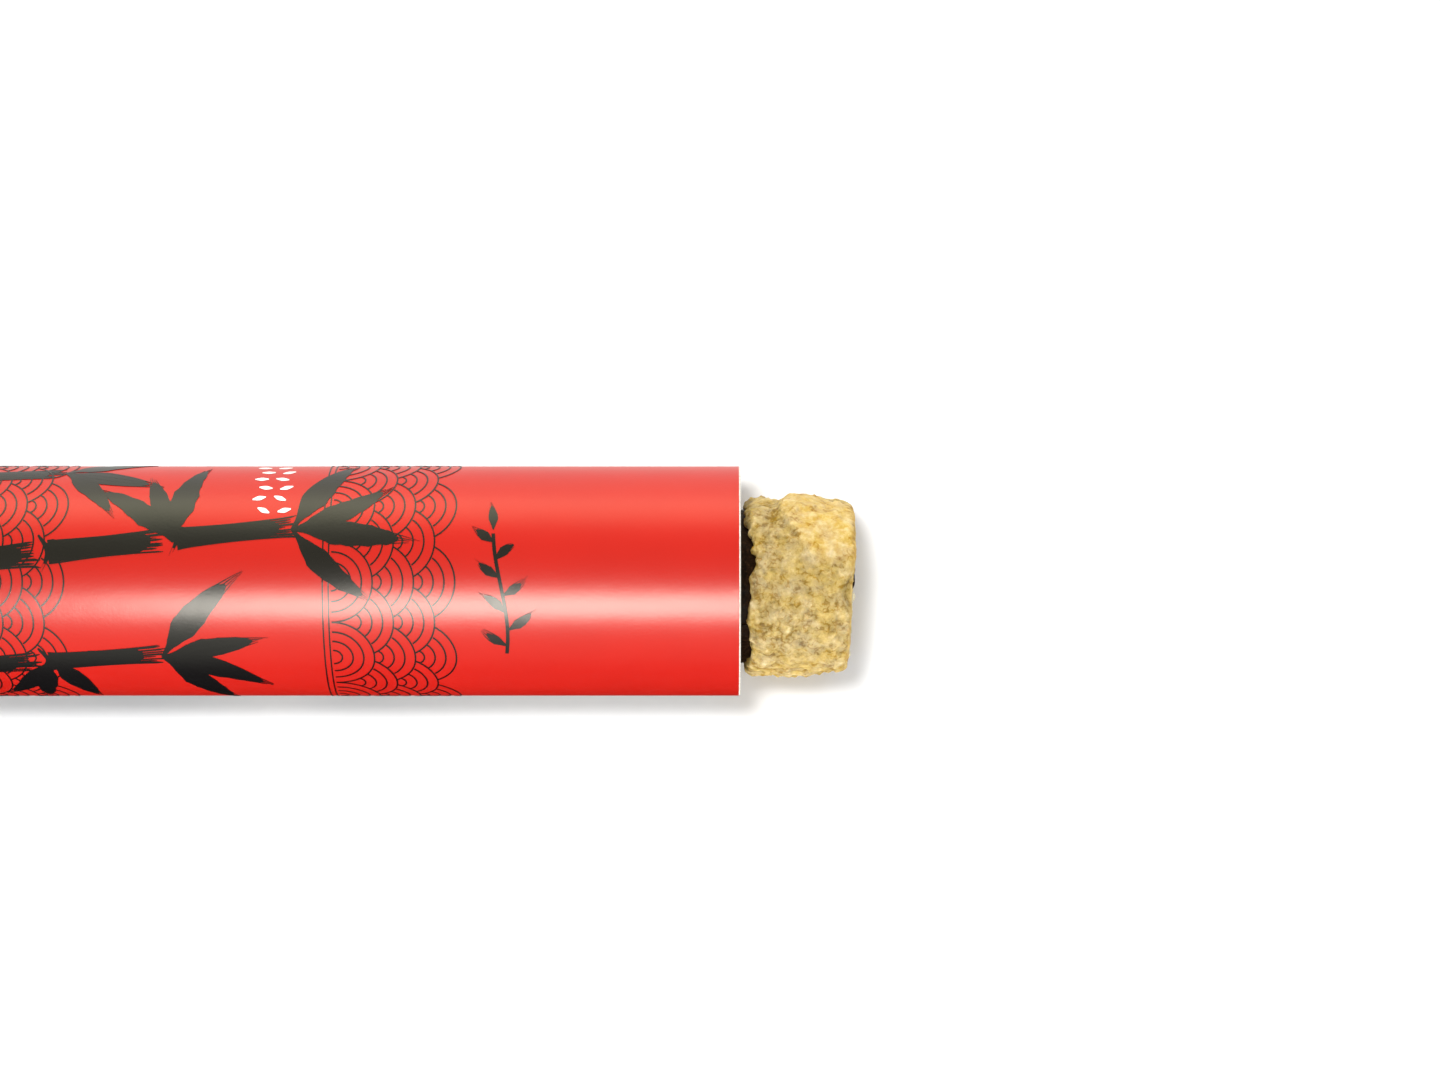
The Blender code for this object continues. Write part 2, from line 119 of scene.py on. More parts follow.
# Where the batter breaks off at the mouth, as (angle, distance from the mouth in mm)
CRUST_BACK_EDGE = (
    (18, 1.2), (36, 1.3), (47, 2.6), (60, 2.9), (72, 3.6), (83, 2.5), (95, 2.1), (108, 1.7),
    (122, 1.9), (137, 2.3), (148, 2.5), (159, 1.6), (174, 1.1), (210, 1.0), (290, 1.0), (340, 1.0),
)
WRAP_START, WRAP_END = NORI_WRAP_PATH[0][0], NORI_WRAP_PATH[-1][0] - 360
FLAP_START, FLAP_END = NORI_FLAP_PATH[0][0] - 360, NORI_FLAP_PATH[-1][0] - 360
FOLD_END = 262
NORI_INSET = 0.45 * MM
BASE_WALL = TUBE_RADIUS - (BASE_HIGH.y - BASE_LOW.y) / 2 - 0.3 * MM

# Lumps of the batter, as (height in mm, size in mm, noise seed)
CRUST_LUMPS = ((0.85, 9, 3.1), (0.75, 4.5, 7.7), (0.55, 2.6, 12.9))
CRUST_EDGE_LUMPS = ((0.5, 4, 21), (0.7, 1.9, 5))
CRUMB_ROOM = 0.45 * MM

# Bubbles in the batter that the knife opened, as (angle, radius, width, depth) with lengths in mm
CUT_HOLES = (
    (152, 18.6, 2.4, 1.6), (163, 19.2, 1.6, 1.2), (167, 17.6, 1.0, 0.8), (8, 17.9, 0.9, 0.7),
    (343, 18.8, 1.1, 0.8), (300, 20.6, 1.3, 0.8), (56, 18.6, 0.9, 0.7), (262, 20.2, 1.2, 0.7),
)

# The knife went through at a slight slant, so the cut lies further back on the left
SLANT = 0.05
SLANT_START_Y = 4 * MM

# Grains and crumbs lie in a slab at the cut, and plain cores fill the slice behind it
SLAB_BACK_X = CUT_X - 4 * MM
CORE_FRONT_X = SLAB_BACK_X - 0.05 * MM

# Rounding of a paper layer's edges, as a share of its thickness
EDGE_ROUND_SHARE = 0.35

# The largest turn of a strewn crumb, in radians
FULL_TURN = 6.28


# Helpers for meshes


def new_object(name, mesh, material=None):
    obj = bpy.data.objects.new(name, mesh)
    bpy.context.scene.collection.objects.link(obj)
    if material:
        mesh.materials.clear()
        mesh.materials.append(material)
    return obj


def mesh_from(name, points, faces):
    mesh = bpy.data.meshes.new(name)
    mesh.from_pydata(points, [], faces)
    mesh.update()
    return mesh


def ring_faces(rings, count, joined):
    pairs = list(zip(range(rings), range(1, rings)))
    if joined:
        pairs.append((rings - 1, 0))
    return [
        (a * count + i, a * count + (i + 1) % count, b * count + (i + 1) % count, b * count + i)
        for a, b in pairs
        for i in range(count)
    ]


def loft(name, rings, joined=False):
    """A closed mesh through rings of equal length, capped at its ends or joined into a loop."""
    count = len(rings[0])
    points = [point for ring in rings for point in ring]
    faces = ring_faces(len(rings), count, joined)
    if not joined:
        for ring, step in ((0, -1), (len(rings) - 1, 1)):
            middle = len(points)
            first = ring * count
            points.append(tuple(np.mean(points[first:first + count], axis=0)))
            for i in range(count):
                edge = (first + i, first + (i + 1) % count)
                faces.append((*edge[::step], middle))
    return mesh_from(name, points, faces)


def evaluated_mesh(obj):
    graph = bpy.context.evaluated_depsgraph_get()
    mesh = bpy.data.meshes.new_from_object(obj.evaluated_get(graph))
    obj.modifiers.clear()
    obj.data = mesh
    return mesh


def remeshed(obj, voxel):
    """Fuses everything in an object into one skin of even faces."""
    modifier = obj.modifiers.new("Fuse", "REMESH")
    modifier.mode = "VOXEL"
    modifier.voxel_size = voxel
    return evaluated_mesh(obj)


def joined(name, objects):
    """One object that holds the meshes of several, which are removed."""
    work = bmesh.new()
    for obj in objects:
        work.from_mesh(obj.data)
        bpy.data.objects.remove(obj)
    mesh = bpy.data.meshes.new(name)
    work.to_mesh(mesh)
    work.free()
    return new_object(name, mesh)


def coordinates(mesh):
    places = np.empty(len(mesh.vertices) * 3)
    mesh.vertices.foreach_get("co", places)
    return places.reshape(-1, 3)


def set_coordinates(mesh, places):
    mesh.vertices.foreach_set("co", places.ravel())
    mesh.update()


def vertex_normals(mesh):
    normals = np.empty(len(mesh.vertices) * 3)
    mesh.vertex_normals.foreach_get("vector", normals)
    return normals.reshape(-1, 3)


def set_attribute(mesh, name, values):
    attribute = mesh.attributes.new(name, "FLOAT", "POINT")
    attribute.data.foreach_set("value", np.asarray(values, dtype=np.float32))


def noise_at(places, size, seed):
    """Smooth noise from -1 to 1 at each place, with lumps of about the given size."""
    shifted = places / size + np.array([seed, seed * 0.7, -seed])
    return np.array([noise.noise(point) for point in shifted])


def cells_at(places, size, seed):
    """Distance to the nearest and second nearest cell middle at each place, in cell sizes."""
    shifted = places / size + np.array([seed, seed * 1.3, seed * 0.4])
    return np.array([noise.voronoi(point)[0][:2] for point in shifted])


def smoothstep(low, high, value):
    share = np.clip((value - low) / (high - low), 0, 1)
    return share * share * (3 - 2 * share)


def finish_piece(obj, slot, *nodes, sharp=None):
    """Smooth shading; the piece joins the root body, and the CAD parts that it replaces are hidden."""
    if not obj.data.polygons:
        raise RuntimeError(f"{obj.name} came out empty")
    obj.data.shade_smooth()
    if sharp:
        obj.data.set_sharp_from_angle(angle=math.radians(sharp))
    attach(obj, "root")
    if nodes:
        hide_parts(*nodes)


# Helpers for node trees


def linear(colour):
    """A colour of hex digits, as sRGB, made linear for a shader."""
    channels = [int(colour[i:i + 2], 16) / 255 for i in (1, 3, 5)]
    return (*[c / 12.92 if c <= 0.04045 else ((c + 0.055) / 1.055) ** 2.4 for c in channels], 1)


def as_colour(value):
    """A linear colour from hex digits, from a grey level or from a setting."""
    if isinstance(value, str):
        return linear(value)
    return (*([value] * 3 if isinstance(value, float) else value), 1)


def set_inputs(node, values):
    """Sets or links inputs of a node, by name or number."""
    for name, value in values.items():
        if isinstance(value, bpy.types.NodeSocket):
            node.id_data.links.new(value, node.inputs[name])
        else:
            node.inputs[name].default_value = value


def add_node(tree, kind, inputs=(), output=None, stops=(), **settings):
    """Adds a node with its settings and links, and gives the output named, or the first in use.

    The inputs are a dict by name or number, or a tuple in their order.
    """
    node = tree.nodes.new(kind)
    for name, value in settings.items():
        setattr(node, name, value)
    set_inputs(node, inputs if isinstance(inputs, dict) else dict(enumerate(inputs)))
    if stops:
        ramp = node.color_ramp.elements
        ramp.remove(ramp[1])
        for index, (place, colour) in enumerate(stops):
            element = ramp.new(place) if index else ramp[0]
            element.position = place
            element.color = as_colour(colour)
    if output:
        return node.outputs[output]
    return next((socket for socket in node.outputs if socket.enabled), None)


def new_material(name):
    """A material's shader, a function that adds nodes, and coordinates in metres."""
    material = bpy.data.materials.new(name)
    material.use_nodes = True
    add = partial(add_node, material.node_tree)
    shader = material.node_tree.nodes["Principled BSDF"]
    return material, shader, add, add("ShaderNodeTexCoord", output="Object")


def new_geometry_tree(name, inputs):
    """A Geometry Nodes tree, a function that adds nodes to it, and its named inputs."""
    tree = bpy.data.node_groups.new(name, "GeometryNodeTree")
    for label, kind in {"Geometry": "Geometry", **inputs, "Material": "Material"}.items():
        tree.interface.new_socket(label, in_out="INPUT", socket_type="NodeSocket" + kind)
    tree.interface.new_socket("Geometry", in_out="OUTPUT", socket_type="NodeSocketGeometry")
    add = partial(add_node, tree)
    return tree, add, add("NodeGroupInput").node.outputs


def close_tree(tree, geometry, material):
    """Ends a tree: the copies are made real, and they get their material."""
    real = add_node(tree, "GeometryNodeRealizeInstances", {0: geometry})
    painted = add_node(tree, "GeometryNodeSetMaterial", {"Geometry": real, "Material": material})
    add_node(tree, "NodeGroupOutput", {0: painted})
    return tree


def run_tree(obj, tree, values):
    """Runs a tree on an object and keeps what comes out as its plain mesh."""
    modifier = obj.modifiers.new(tree.name, "NODES")
    modifier.node_group = tree
    for item in tree.interface.items_tree:
        if item.in_out == "INPUT" and item.name in values:
            modifier[item.identifier] = values[item.name]
    return evaluated_mesh(obj)


# Shapes of the slice, the same as in the CAD model


def along(table, angle, period=None):
    """Radius in metres at an angle, on a smooth curve through a table's points."""
    points = list(table)
    if period:
        head = [(a - period, r) for a, r in points[-2:]]
        tail = [(a + period, r) for a, r in points[:2]]
        points = head + points + tail
        start = points[1][0]
        angle = (angle - start) % period + start
    else:
        points = [(2 * points[0][0] - points[1][0], points[0][1]), *points]
        points.append((2 * points[-1][0] - points[-2][0], points[-1][1]))
        angle = min(max(angle, points[1][0]), points[-2][0])
    for before, left, right, after in zip(points, points[1:], points[2:], points[3:]):
        if left[0] <= angle <= right[0]:
            break
    span = right[0] - left[0]
    t = (angle - left[0]) / span
    slope_left = (right[1] - before[1]) / (right[0] - before[0]) * span
    slope_right = (after[1] - left[1]) / (after[0] - left[0]) * span
    value = (
        (2 * t**3 - 3 * t**2 + 1) * left[1]
        + (t**3 - 2 * t**2 + t) * slope_left
        + (3 * t**2 - 2 * t**3) * right[1]
        + (t**3 - t**2) * slope_right
    )
    return value * MM


def crust_radius(angle):
    return along(CRUST_OUTLINE, angle, 360)


def wrap_radius(angle):
    return along(NORI_WRAP_PATH, angle)


def flap_radius(angle):
    return along(NORI_FLAP_PATH, angle)


def outer_nori_radius(angle):
    """Middle of the outermost seaweed at an angle. Where the sheet is torn, the rice carries on."""
    angle %= 360
    if FLAP_START <= angle <= FLAP_END:
        return flap_radius(angle + 360)
    if WRAP_END < angle < FLAP_START:
        share = (angle - WRAP_END) / (FLAP_START - WRAP_END)
        ends = wrap_radius(WRAP_END + 360), flap_radius(FLAP_START + 360)
        return ends[0] + (ends[1] - ends[0]) * share + 0.5 * MM * math.sin(math.pi * share)
    wrap = wrap_radius(angle if angle > FLAP_END else angle + 360)
    past_flap = angle - FLAP_END
    if past_flap > 0:
        share = min(max((past_flap - 4) / 14, 0), 1)
        wrap += (flap_radius(FLAP_END + 360) - wrap) * (1 - share)
    return wrap


def rice_radius(angle):
    """Outside of the rice: inside the wrap, and out to the flap in the fold below it."""
    angle %= 360
    if angle <= FOLD_END:
        return outer_nori_radius(angle) - NORI_INSET
    inner = wrap_radius(angle) - NORI_INSET
    share = min((angle - FOLD_END) / 8, 1)
    return max((flap_radius(FOLD_END + 360) - NORI_INSET) * (1 - share) + inner * share, inner)


def point_at(x, angle, radius, middle=(0, 0)):
    """A point of the slice, from polar coordinates about its middle."""
    turn = math.radians(angle)
    return (
        x,
        SLICE_MIDDLE.y + middle[0] + radius * math.cos(turn),
        SLICE_MIDDLE.z + middle[1] + radius * math.sin(turn),
    )


def slanted(places):
    """Places of the slice moved back along it where the knife cut it shorter."""
    left = np.maximum(SLANT_START_Y - places[:, 1], 0)
    share = smoothstep(MOUTH_X + 4 * MM, CUT_X, places[:, 0])
    moved = places.copy()
    moved[:, 0] -= SLANT * left * share
    return moved


def even_angles(count):
    return [360 * i / count for i in range(count)]


def polar(places, middle=(0, 0)):
    """Angle in degrees and radius of places about the slice's middle."""
    across = places[:, 1] - SLICE_MIDDLE.y - middle[0]
    up = places[:, 2] - SLICE_MIDDLE.z - middle[1]
    return np.degrees(np.arctan2(up, across)) % 360, np.hypot(across, up)


def sampled(function):
    """A function of the angle as a table of one value a degree, for many angles at once."""
    table = np.array([function(angle) for angle in range(361)])
    return lambda angles: np.interp(angles, np.arange(361), table)


def lumps(table, x, angle, radius):
    turn = math.radians(angle)
    place = Vector((x, radius * math.cos(turn), radius * math.sin(turn))) / MM
    return MM * sum(
        height * noise.noise(place / size + Vector((seed, seed * 0.7, -seed)))
        for height, size, seed in table
    )


def bump(value, centre, width):
    return math.exp(-(((value - centre) / width) ** 2))


def signed(angle):
    return (angle + 180) % 360 - 180


def golden_edge(turned):
    """Where the golden lump starts, from the mouth. It runs back diagonally over the top."""
    return (8.0 + 9.0 * smoothstep(25, 95, turned)) * MM


def crust_relief(x, angle):
    """How far the batter stands out from its plain outline."""
    out = x - MOUTH_X
    turned = signed(angle)
    right = bump(turned, 10, 30)
    left = bump(angle % 360, 188, 34)
    right_swell = 0.9 * bump(out, 13 * MM, 4.5 * MM) - 0.9 * bump(out, 8.2 * MM, 1.7 * MM)
    left_swell = 0.3 * bump(out, 12.5 * MM, 4 * MM) - 0.6 * bump(out, 3 * MM, 2 * MM) - 0.5
    left_swell -= 1.2 * smoothstep(15 * MM, 24 * MM, out)
    edge = golden_edge(turned)
    lump = smoothstep(edge - 0.6 * MM, edge + 1.2 * MM, out) * smoothstep(50, 34, abs(turned - 34))
    lump *= 1.1 * smoothstep(27 * MM, 17 * MM, out)
    swell = right * right_swell + left * left_swell + lump
    return swell * MM + lumps(CRUST_LUMPS, x, angle, crust_radius(angle))


def crust_back_x(angle):
    """The broken edge of the batter, which leaves a band of seaweed bare at the mouth."""
    ragged = lumps(CRUST_EDGE_LUMPS, 0, angle, TUBE_RADIUS)
    return MOUTH_X + max(along(CRUST_BACK_EDGE, angle, 360) + ragged, 0.6 * MM)


def crust_front_x(angle):
    return CUT_X - (0.4 - 0.4 * bump(signed(angle), 45, 45)) * MM


# Materials


def fried_batter_material():
    """Tempura batter, fried. Dry olive-tan crags, with painted shade in the pits and painted highlight on
    the crests, and smoother golden lumps.
    """
    settings = bpy.context.scene.sushi_pop_batter
    material, shader, add, place = new_material("fried tempura batter")
    relief, golden, crumb, rind = (
        add("ShaderNodeAttribute", output="Fac", attribute_name=name)
        for name in ("relief", "golden", "crumb", "rind")
    )

    # Mottling 1.1 mm across, and patches 3 mm across, shift how brown each crag is. The relief adds
    # painted shade in the pits and painted highlight on the crags
    mottle = add("ShaderNodeTexNoise", {"Vector": place, "Scale": 900, "Detail": 5, "Roughness": 0.65})
    patches = add("ShaderNodeTexNoise", {"Vector": place, "Scale": 330, "Detail": 4, "Roughness": 0.6})
    mottled = add("ShaderNodeMath", (mottle, 1.05, -0.525), operation="MULTIPLY_ADD")
    raised = add("ShaderNodeMath", (relief, 0.5, 0.25), operation="MULTIPLY_ADD")
    height = add("ShaderNodeMath", (raised, mottled), operation="ADD")
    shade = add("ShaderNodeMath", (patches, 1.7, -0.85), operation="MULTIPLY_ADD")
    tan_height = add("ShaderNodeMath", (shade, 0.75, height), operation="MULTIPLY_ADD")
    tan = add(
        "ShaderNodeValToRGB", (tan_height,),
        stops=[
            (0.0, settings.pit_shade_and_tone), (0.25, "#937E4A"), (0.5, settings.tan), (0.74, "#B9A167"),
            (1.0, settings.crest_highlight_and_tone),
        ],
    )
    gold_height = add("ShaderNodeMath", (shade, 0.6, height), operation="MULTIPLY_ADD")
    gold = add(
        "ShaderNodeValToRGB", (gold_height,),
        stops=[(0.02, "#8A6E38"), (0.27, "#B5924E"), (0.5, settings.golden), (0.85, "#D5BF88")],
    )
    rim = add("ShaderNodeMath", (rind, -0.42, height), operation="MULTIPLY_ADD")
    cut_height = add("ShaderNodeMath", (shade, 0.6, rim), operation="MULTIPLY_ADD")
    cut = add(
        "ShaderNodeValToRGB", (cut_height,),
        stops=[(0.0, "#80622C"), (0.2, "#AC8840"), (0.4, "#BE9A4F"), (0.6, "#CCAF6D"), (0.9, "#D7C388")],
    )
    share = add("ShaderNodeMath", (patches, 1.2, -0.6), operation="MULTIPLY_ADD")
    share = add("ShaderNodeMath", (share, golden), operation="ADD", use_clamp=True)
    outside = add("ShaderNodeMix", {0: share, 6: tan, 7: gold}, data_type="RGBA")

    # Dark lines 0.6 mm wide, drawn as crevices between the crumbs, are painted shade; they fade on the
    # golden lumps and in some patches
    lines = add("ShaderNodeTexNoise", {"Vector": place, "Scale": 620, "Detail": 2, "Roughness": 0.5})
    lines = add("ShaderNodeMath", (lines, 0.5), operation="SUBTRACT")
    lines = add("ShaderNodeMath", (lines,), operation="ABSOLUTE")
    calm = add("ShaderNodeMath", (golden, 0.05, lines), operation="MULTIPLY_ADD")
    shade_fade = add("ShaderNodeMath", (patches, 0.5, -0.23), operation="MULTIPLY_ADD")
    calm = add("ShaderNodeMath", (calm, shade_fade), operation="ADD")
    dark = add(
        "ShaderNodeValToRGB", (calm,), stops=[(0.0, "#D9C89E"), (0.03, "#ECE2CA"), (0.08, "#FFFFFF")]
    )
    creased = add(
        "ShaderNodeMix", {0: 1.0, 6: outside, 7: dark}, data_type="RGBA", blend_type="MULTIPLY"
    )

    # In patches 4 mm across the oil has left the crust yellower or greyer
    oil = add("ShaderNodeTexNoise", {"Vector": place, "Scale": 250, "Detail": 2})
    oil = add("ShaderNodeMapRange", (oil, 0.34, 0.62, 0.88, 1.08))
    oiled = add("ShaderNodeHueSaturation", {"Saturation": oil, "Color": creased})
    colour = add("ShaderNodeMix", {0: crumb, 6: oiled, 7: cut}, data_type="RGBA")
    rough = add("ShaderNodeMapRange", (mottle, 0.3, 0.7, 0.42, 0.7))
    grit = add("ShaderNodeTexNoise", {"Vector": place, "Scale": 1700, "Detail": 6})
    bumped = add("ShaderNodeBump", {"Height": grit, "Strength": 0.7, "Distance": 0.4 * MM})
    set_inputs(shader, {
        "Base Color": colour, "Roughness": rough, "Normal": bumped, "IOR": 1.45,
        "Specular IOR Level": 0.22, "Subsurface Weight": 0.15,
        "Subsurface Radius": (1.0, 0.55, 0.2), "Subsurface Scale": 1.2 * MM,
    })
    return material


def seaweed_material():
    """Roasted nori. Nearly black green-purple, with a faint sheen on its pressed fibres."""
    material, shader, add, place = new_material("roasted nori")
    fibres = add("ShaderNodeTexNoise", {"Vector": place, "Scale": 1400, "Detail": 6, "Roughness": 0.7})
    colour = add(
        "ShaderNodeValToRGB", (fibres,),
        stops=[
            (0.3, "#0A0402"), (0.5, bpy.context.scene.sushi_pop_roll.seaweed), (0.62, "#2C1B0D"),
            (0.78, "#473216"),
        ],
    )
    rough = add("ShaderNodeMapRange", {0: fibres, 3: 0.3, 4: 0.6})
    bumped = add("ShaderNodeBump", {"Height": fibres, "Strength": 0.6, "Distance": 0.3 * MM})
    set_inputs(shader, {
        "Base Color": colour, "Roughness": rough, "Normal": bumped, "Specular IOR Level": 0.06,
    })
    return material


def rice_material():
    """Cooked sushi rice. Moist and slightly see-through, stained yellow beside the filling."""
    settings = bpy.context.scene.sushi_pop_roll
    material, shader, add, place = new_material("cooked sushi rice")
    relief, stain, tint = (
        add("ShaderNodeAttribute", output="Fac", attribute_name=name)
        for name in ("relief", "stain", "tint")
    )
    cloud = add("ShaderNodeTexNoise", {"Vector": place, "Scale": 600, "Detail": 4})
    height = add("ShaderNodeMath", (cloud, 0.6, -0.3), operation="MULTIPLY_ADD")
    # The relief paints shade between the grains and in their creases
    height = add("ShaderNodeMath", (relief, height), operation="ADD")
    height = add("ShaderNodeMath", (height, tint), operation="ADD")
    white = add(
        "ShaderNodeValToRGB", (height,),
        stops=[(0.0, "#A3956C"), (0.3, "#C2B792"), (0.5, settings.rice), (0.85, "#DBD6C4")],
    )
    yellow = add(
        "ShaderNodeValToRGB", (height,), stops=[(0.0, "#A58A48"), (0.4, "#CFB878"), (0.8, "#DCCFA2")]
    )
    share = add("ShaderNodeMath", (cloud, 1.2, -0.6), operation="MULTIPLY_ADD")
    share = add("ShaderNodeMath", (share, stain), operation="ADD", use_clamp=True)
    colour = add("ShaderNodeMix", {0: share, 6: white, 7: yellow}, data_type="RGBA")
    bumped = add("ShaderNodeBump", {"Height": cloud, "Strength": 0.25, "Distance": 0.4 * MM})
    set_inputs(shader, {
        "Base Color": colour, "Roughness": 0.34, "Normal": bumped, "IOR": 1.38,
        "Subsurface Weight": 0.35, "Subsurface Radius": (1.0, 0.85, 0.6),
        "Subsurface Scale": 1.2 * MM,
    })
    return material


def filling_batter_material():
    """Batter soaked by the shrimp. Soft and moist, yellow with orange clouds."""
    settings = bpy.context.scene.sushi_pop_roll
    material, shader, add, place = new_material("soaked yellow batter")
    orange = add("ShaderNodeAttribute", output="Fac", attribute_name="orange")
    cloud = add("ShaderNodeTexNoise", {"Vector": place, "Scale": 420, "Detail": 5})
    share = add("ShaderNodeMath", (cloud, 0.9, -0.45), operation="MULTIPLY_ADD")
    share = add("ShaderNodeMath", (share, orange), operation="ADD")
    colour = add(
        "ShaderNodeValToRGB", (share,),
        stops=[(0.05, "#DCC98E"), (0.35, settings.yellow), (0.62, "#D8A844"), (0.95, settings.orange)],
    )
    pores = add("ShaderNodeTexNoise", {"Vector": place, "Scale": 1300, "Detail": 4})
    bumped = add("ShaderNodeBump", {"Height": pores, "Strength": 0.5, "Distance": 0.4 * MM})
    set_inputs(shader, {
        "Base Color": colour, "Roughness": 0.42, "Normal": bumped, "Subsurface Weight": 0.35,
        "Subsurface Radius": (1.0, 0.6, 0.2), "Subsurface Scale": 1.5 * MM,
    })
    return material


def shrimp_material():
    """Boiled shrimp, cut across. Moist pinkish white flesh inside a thin orange-red skin."""
    settings = bpy.context.scene.sushi_pop_roll
    material, shader, add, place = new_material("boiled shrimp")
    skin, soak = (
        add("ShaderNodeAttribute", output="Fac", attribute_name=name) for name in ("skin", "soak")
    )
    stretched = add("ShaderNodeMapping", {"Vector": place, "Scale": (1, 1, 0.35)}, vector_type="POINT")
    fibres = add("ShaderNodeTexNoise", {"Vector": stretched, "Scale": 1500, "Detail": 5})
    share = add("ShaderNodeMath", (fibres, 0.5, -0.25), operation="MULTIPLY_ADD")
    share = add("ShaderNodeMath", (share, skin), operation="ADD")
    flesh = add(
        "ShaderNodeValToRGB", (share,),
        stops=[(0.08, "#E8D2B9"), (0.34, settings.shrimp), (0.6, "#DA9A68"), (0.9, settings.skin)],
    )
    colour = add(
        "ShaderNodeMix", {0: soak, 6: flesh, 7: as_colour(settings.yellow)}, data_type="RGBA"
    )
    bumped = add("ShaderNodeBump", {"Height": fibres, "Strength": 0.35, "Distance": 0.3 * MM})
    set_inputs(shader, {
        "Base Color": colour, "Roughness": 0.32, "Normal": bumped, "Subsurface Weight": 0.5,
        "Subsurface Radius": (1.0, 0.6, 0.45), "Subsurface Scale": 2 * MM,
    })
    return material


def coated_paper(name, colour, spread):
    """Gloss-coated paper. Ink under a smooth coat whose fine tooth makes its highlights grainy."""
    material, shader, add, place = new_material(name)
    cloud = add("ShaderNodeTexNoise", {"Vector": place, "Scale": 60, "Detail": 3})
    tint = add("ShaderNodeMapRange", (cloud, 0.3, 0.7, 1 - spread, 1))
    ink = add(
        "ShaderNodeMix", {0: 1.0, 6: as_colour(colour), 7: tint}, data_type="RGBA",
        blend_type="MULTIPLY",
    )
    # The coat's tooth is 0.02 mm, too fine to show, and is drawn at 0.6 mm
    tooth = add("ShaderNodeTexNoise", {"Vector": place, "Scale": 1600, "Detail": 3, "Roughness": 0.6})
    waves = add("ShaderNodeTexNoise", {"Vector": place, "Scale": 90, "Detail": 2})
    fine = add("ShaderNodeBump", {"Height": tooth, "Strength": 0.1, "Distance": 0.2 * MM})
    broad = add(
        "ShaderNodeBump", {"Height": waves, "Strength": 0.12, "Distance": 0.6 * MM, "Normal": fine}
    )
    set_inputs(shader, {"Base Color": ink, "Roughness": 0.315, "Normal": broad, "IOR": 1.5})
    return material


def board_material(name, colours, fibre_mm):
    """Uncoated paper board. Matt, with loose fibres that show as pale and dark flecks."""
    material, shader, add, place = new_material(name)
    scale = 1 / (fibre_mm * MM)
    fibres = add("ShaderNodeTexNoise", {"Vector": place, "Scale": scale, "Detail": 5, "Roughness": 0.65})
    colour = add("ShaderNodeValToRGB", (fibres,), stops=list(zip((0.3, 0.5, 0.72), colours)))
    bumped = add("ShaderNodeBump", {"Height": fibres, "Strength": 0.4, "Distance": 0.2 * MM})
    set_inputs(shader, {"Base Color": colour, "Roughness": 0.85, "Normal": bumped})
    return material


def floor_material():
    """A sheet of matt white background paper."""
    material, shader, add, place = new_material("white background paper")
    grain = add("ShaderNodeTexNoise", {"Vector": place, "Scale": 400, "Detail": 3})
    bumped = add("ShaderNodeBump", {"Height": grain, "Strength": 0.05, "Distance": 0.2 * MM})
    set_inputs(shader, {"Base Color": as_colour(0.93), "Roughness": 0.9, "Normal": bumped})
    return material


# Geometry Nodes trees


def from_axis(add, turn, reach, axis_height):
    """Adds the nodes that give Y and Z at a turn about the tube's axis and a reach from it."""
    sine = add("ShaderNodeMath", (turn,), operation="SINE")
    cosine = add("ShaderNodeMath", (turn,), operation="COSINE")
    sideways = add("ShaderNodeMath", (sine, reach), operation="MULTIPLY")
    upwards = add("ShaderNodeMath", (cosine, reach), operation="MULTIPLY")
    return sideways, add("ShaderNodeMath", (upwards, axis_height), operation="ADD")


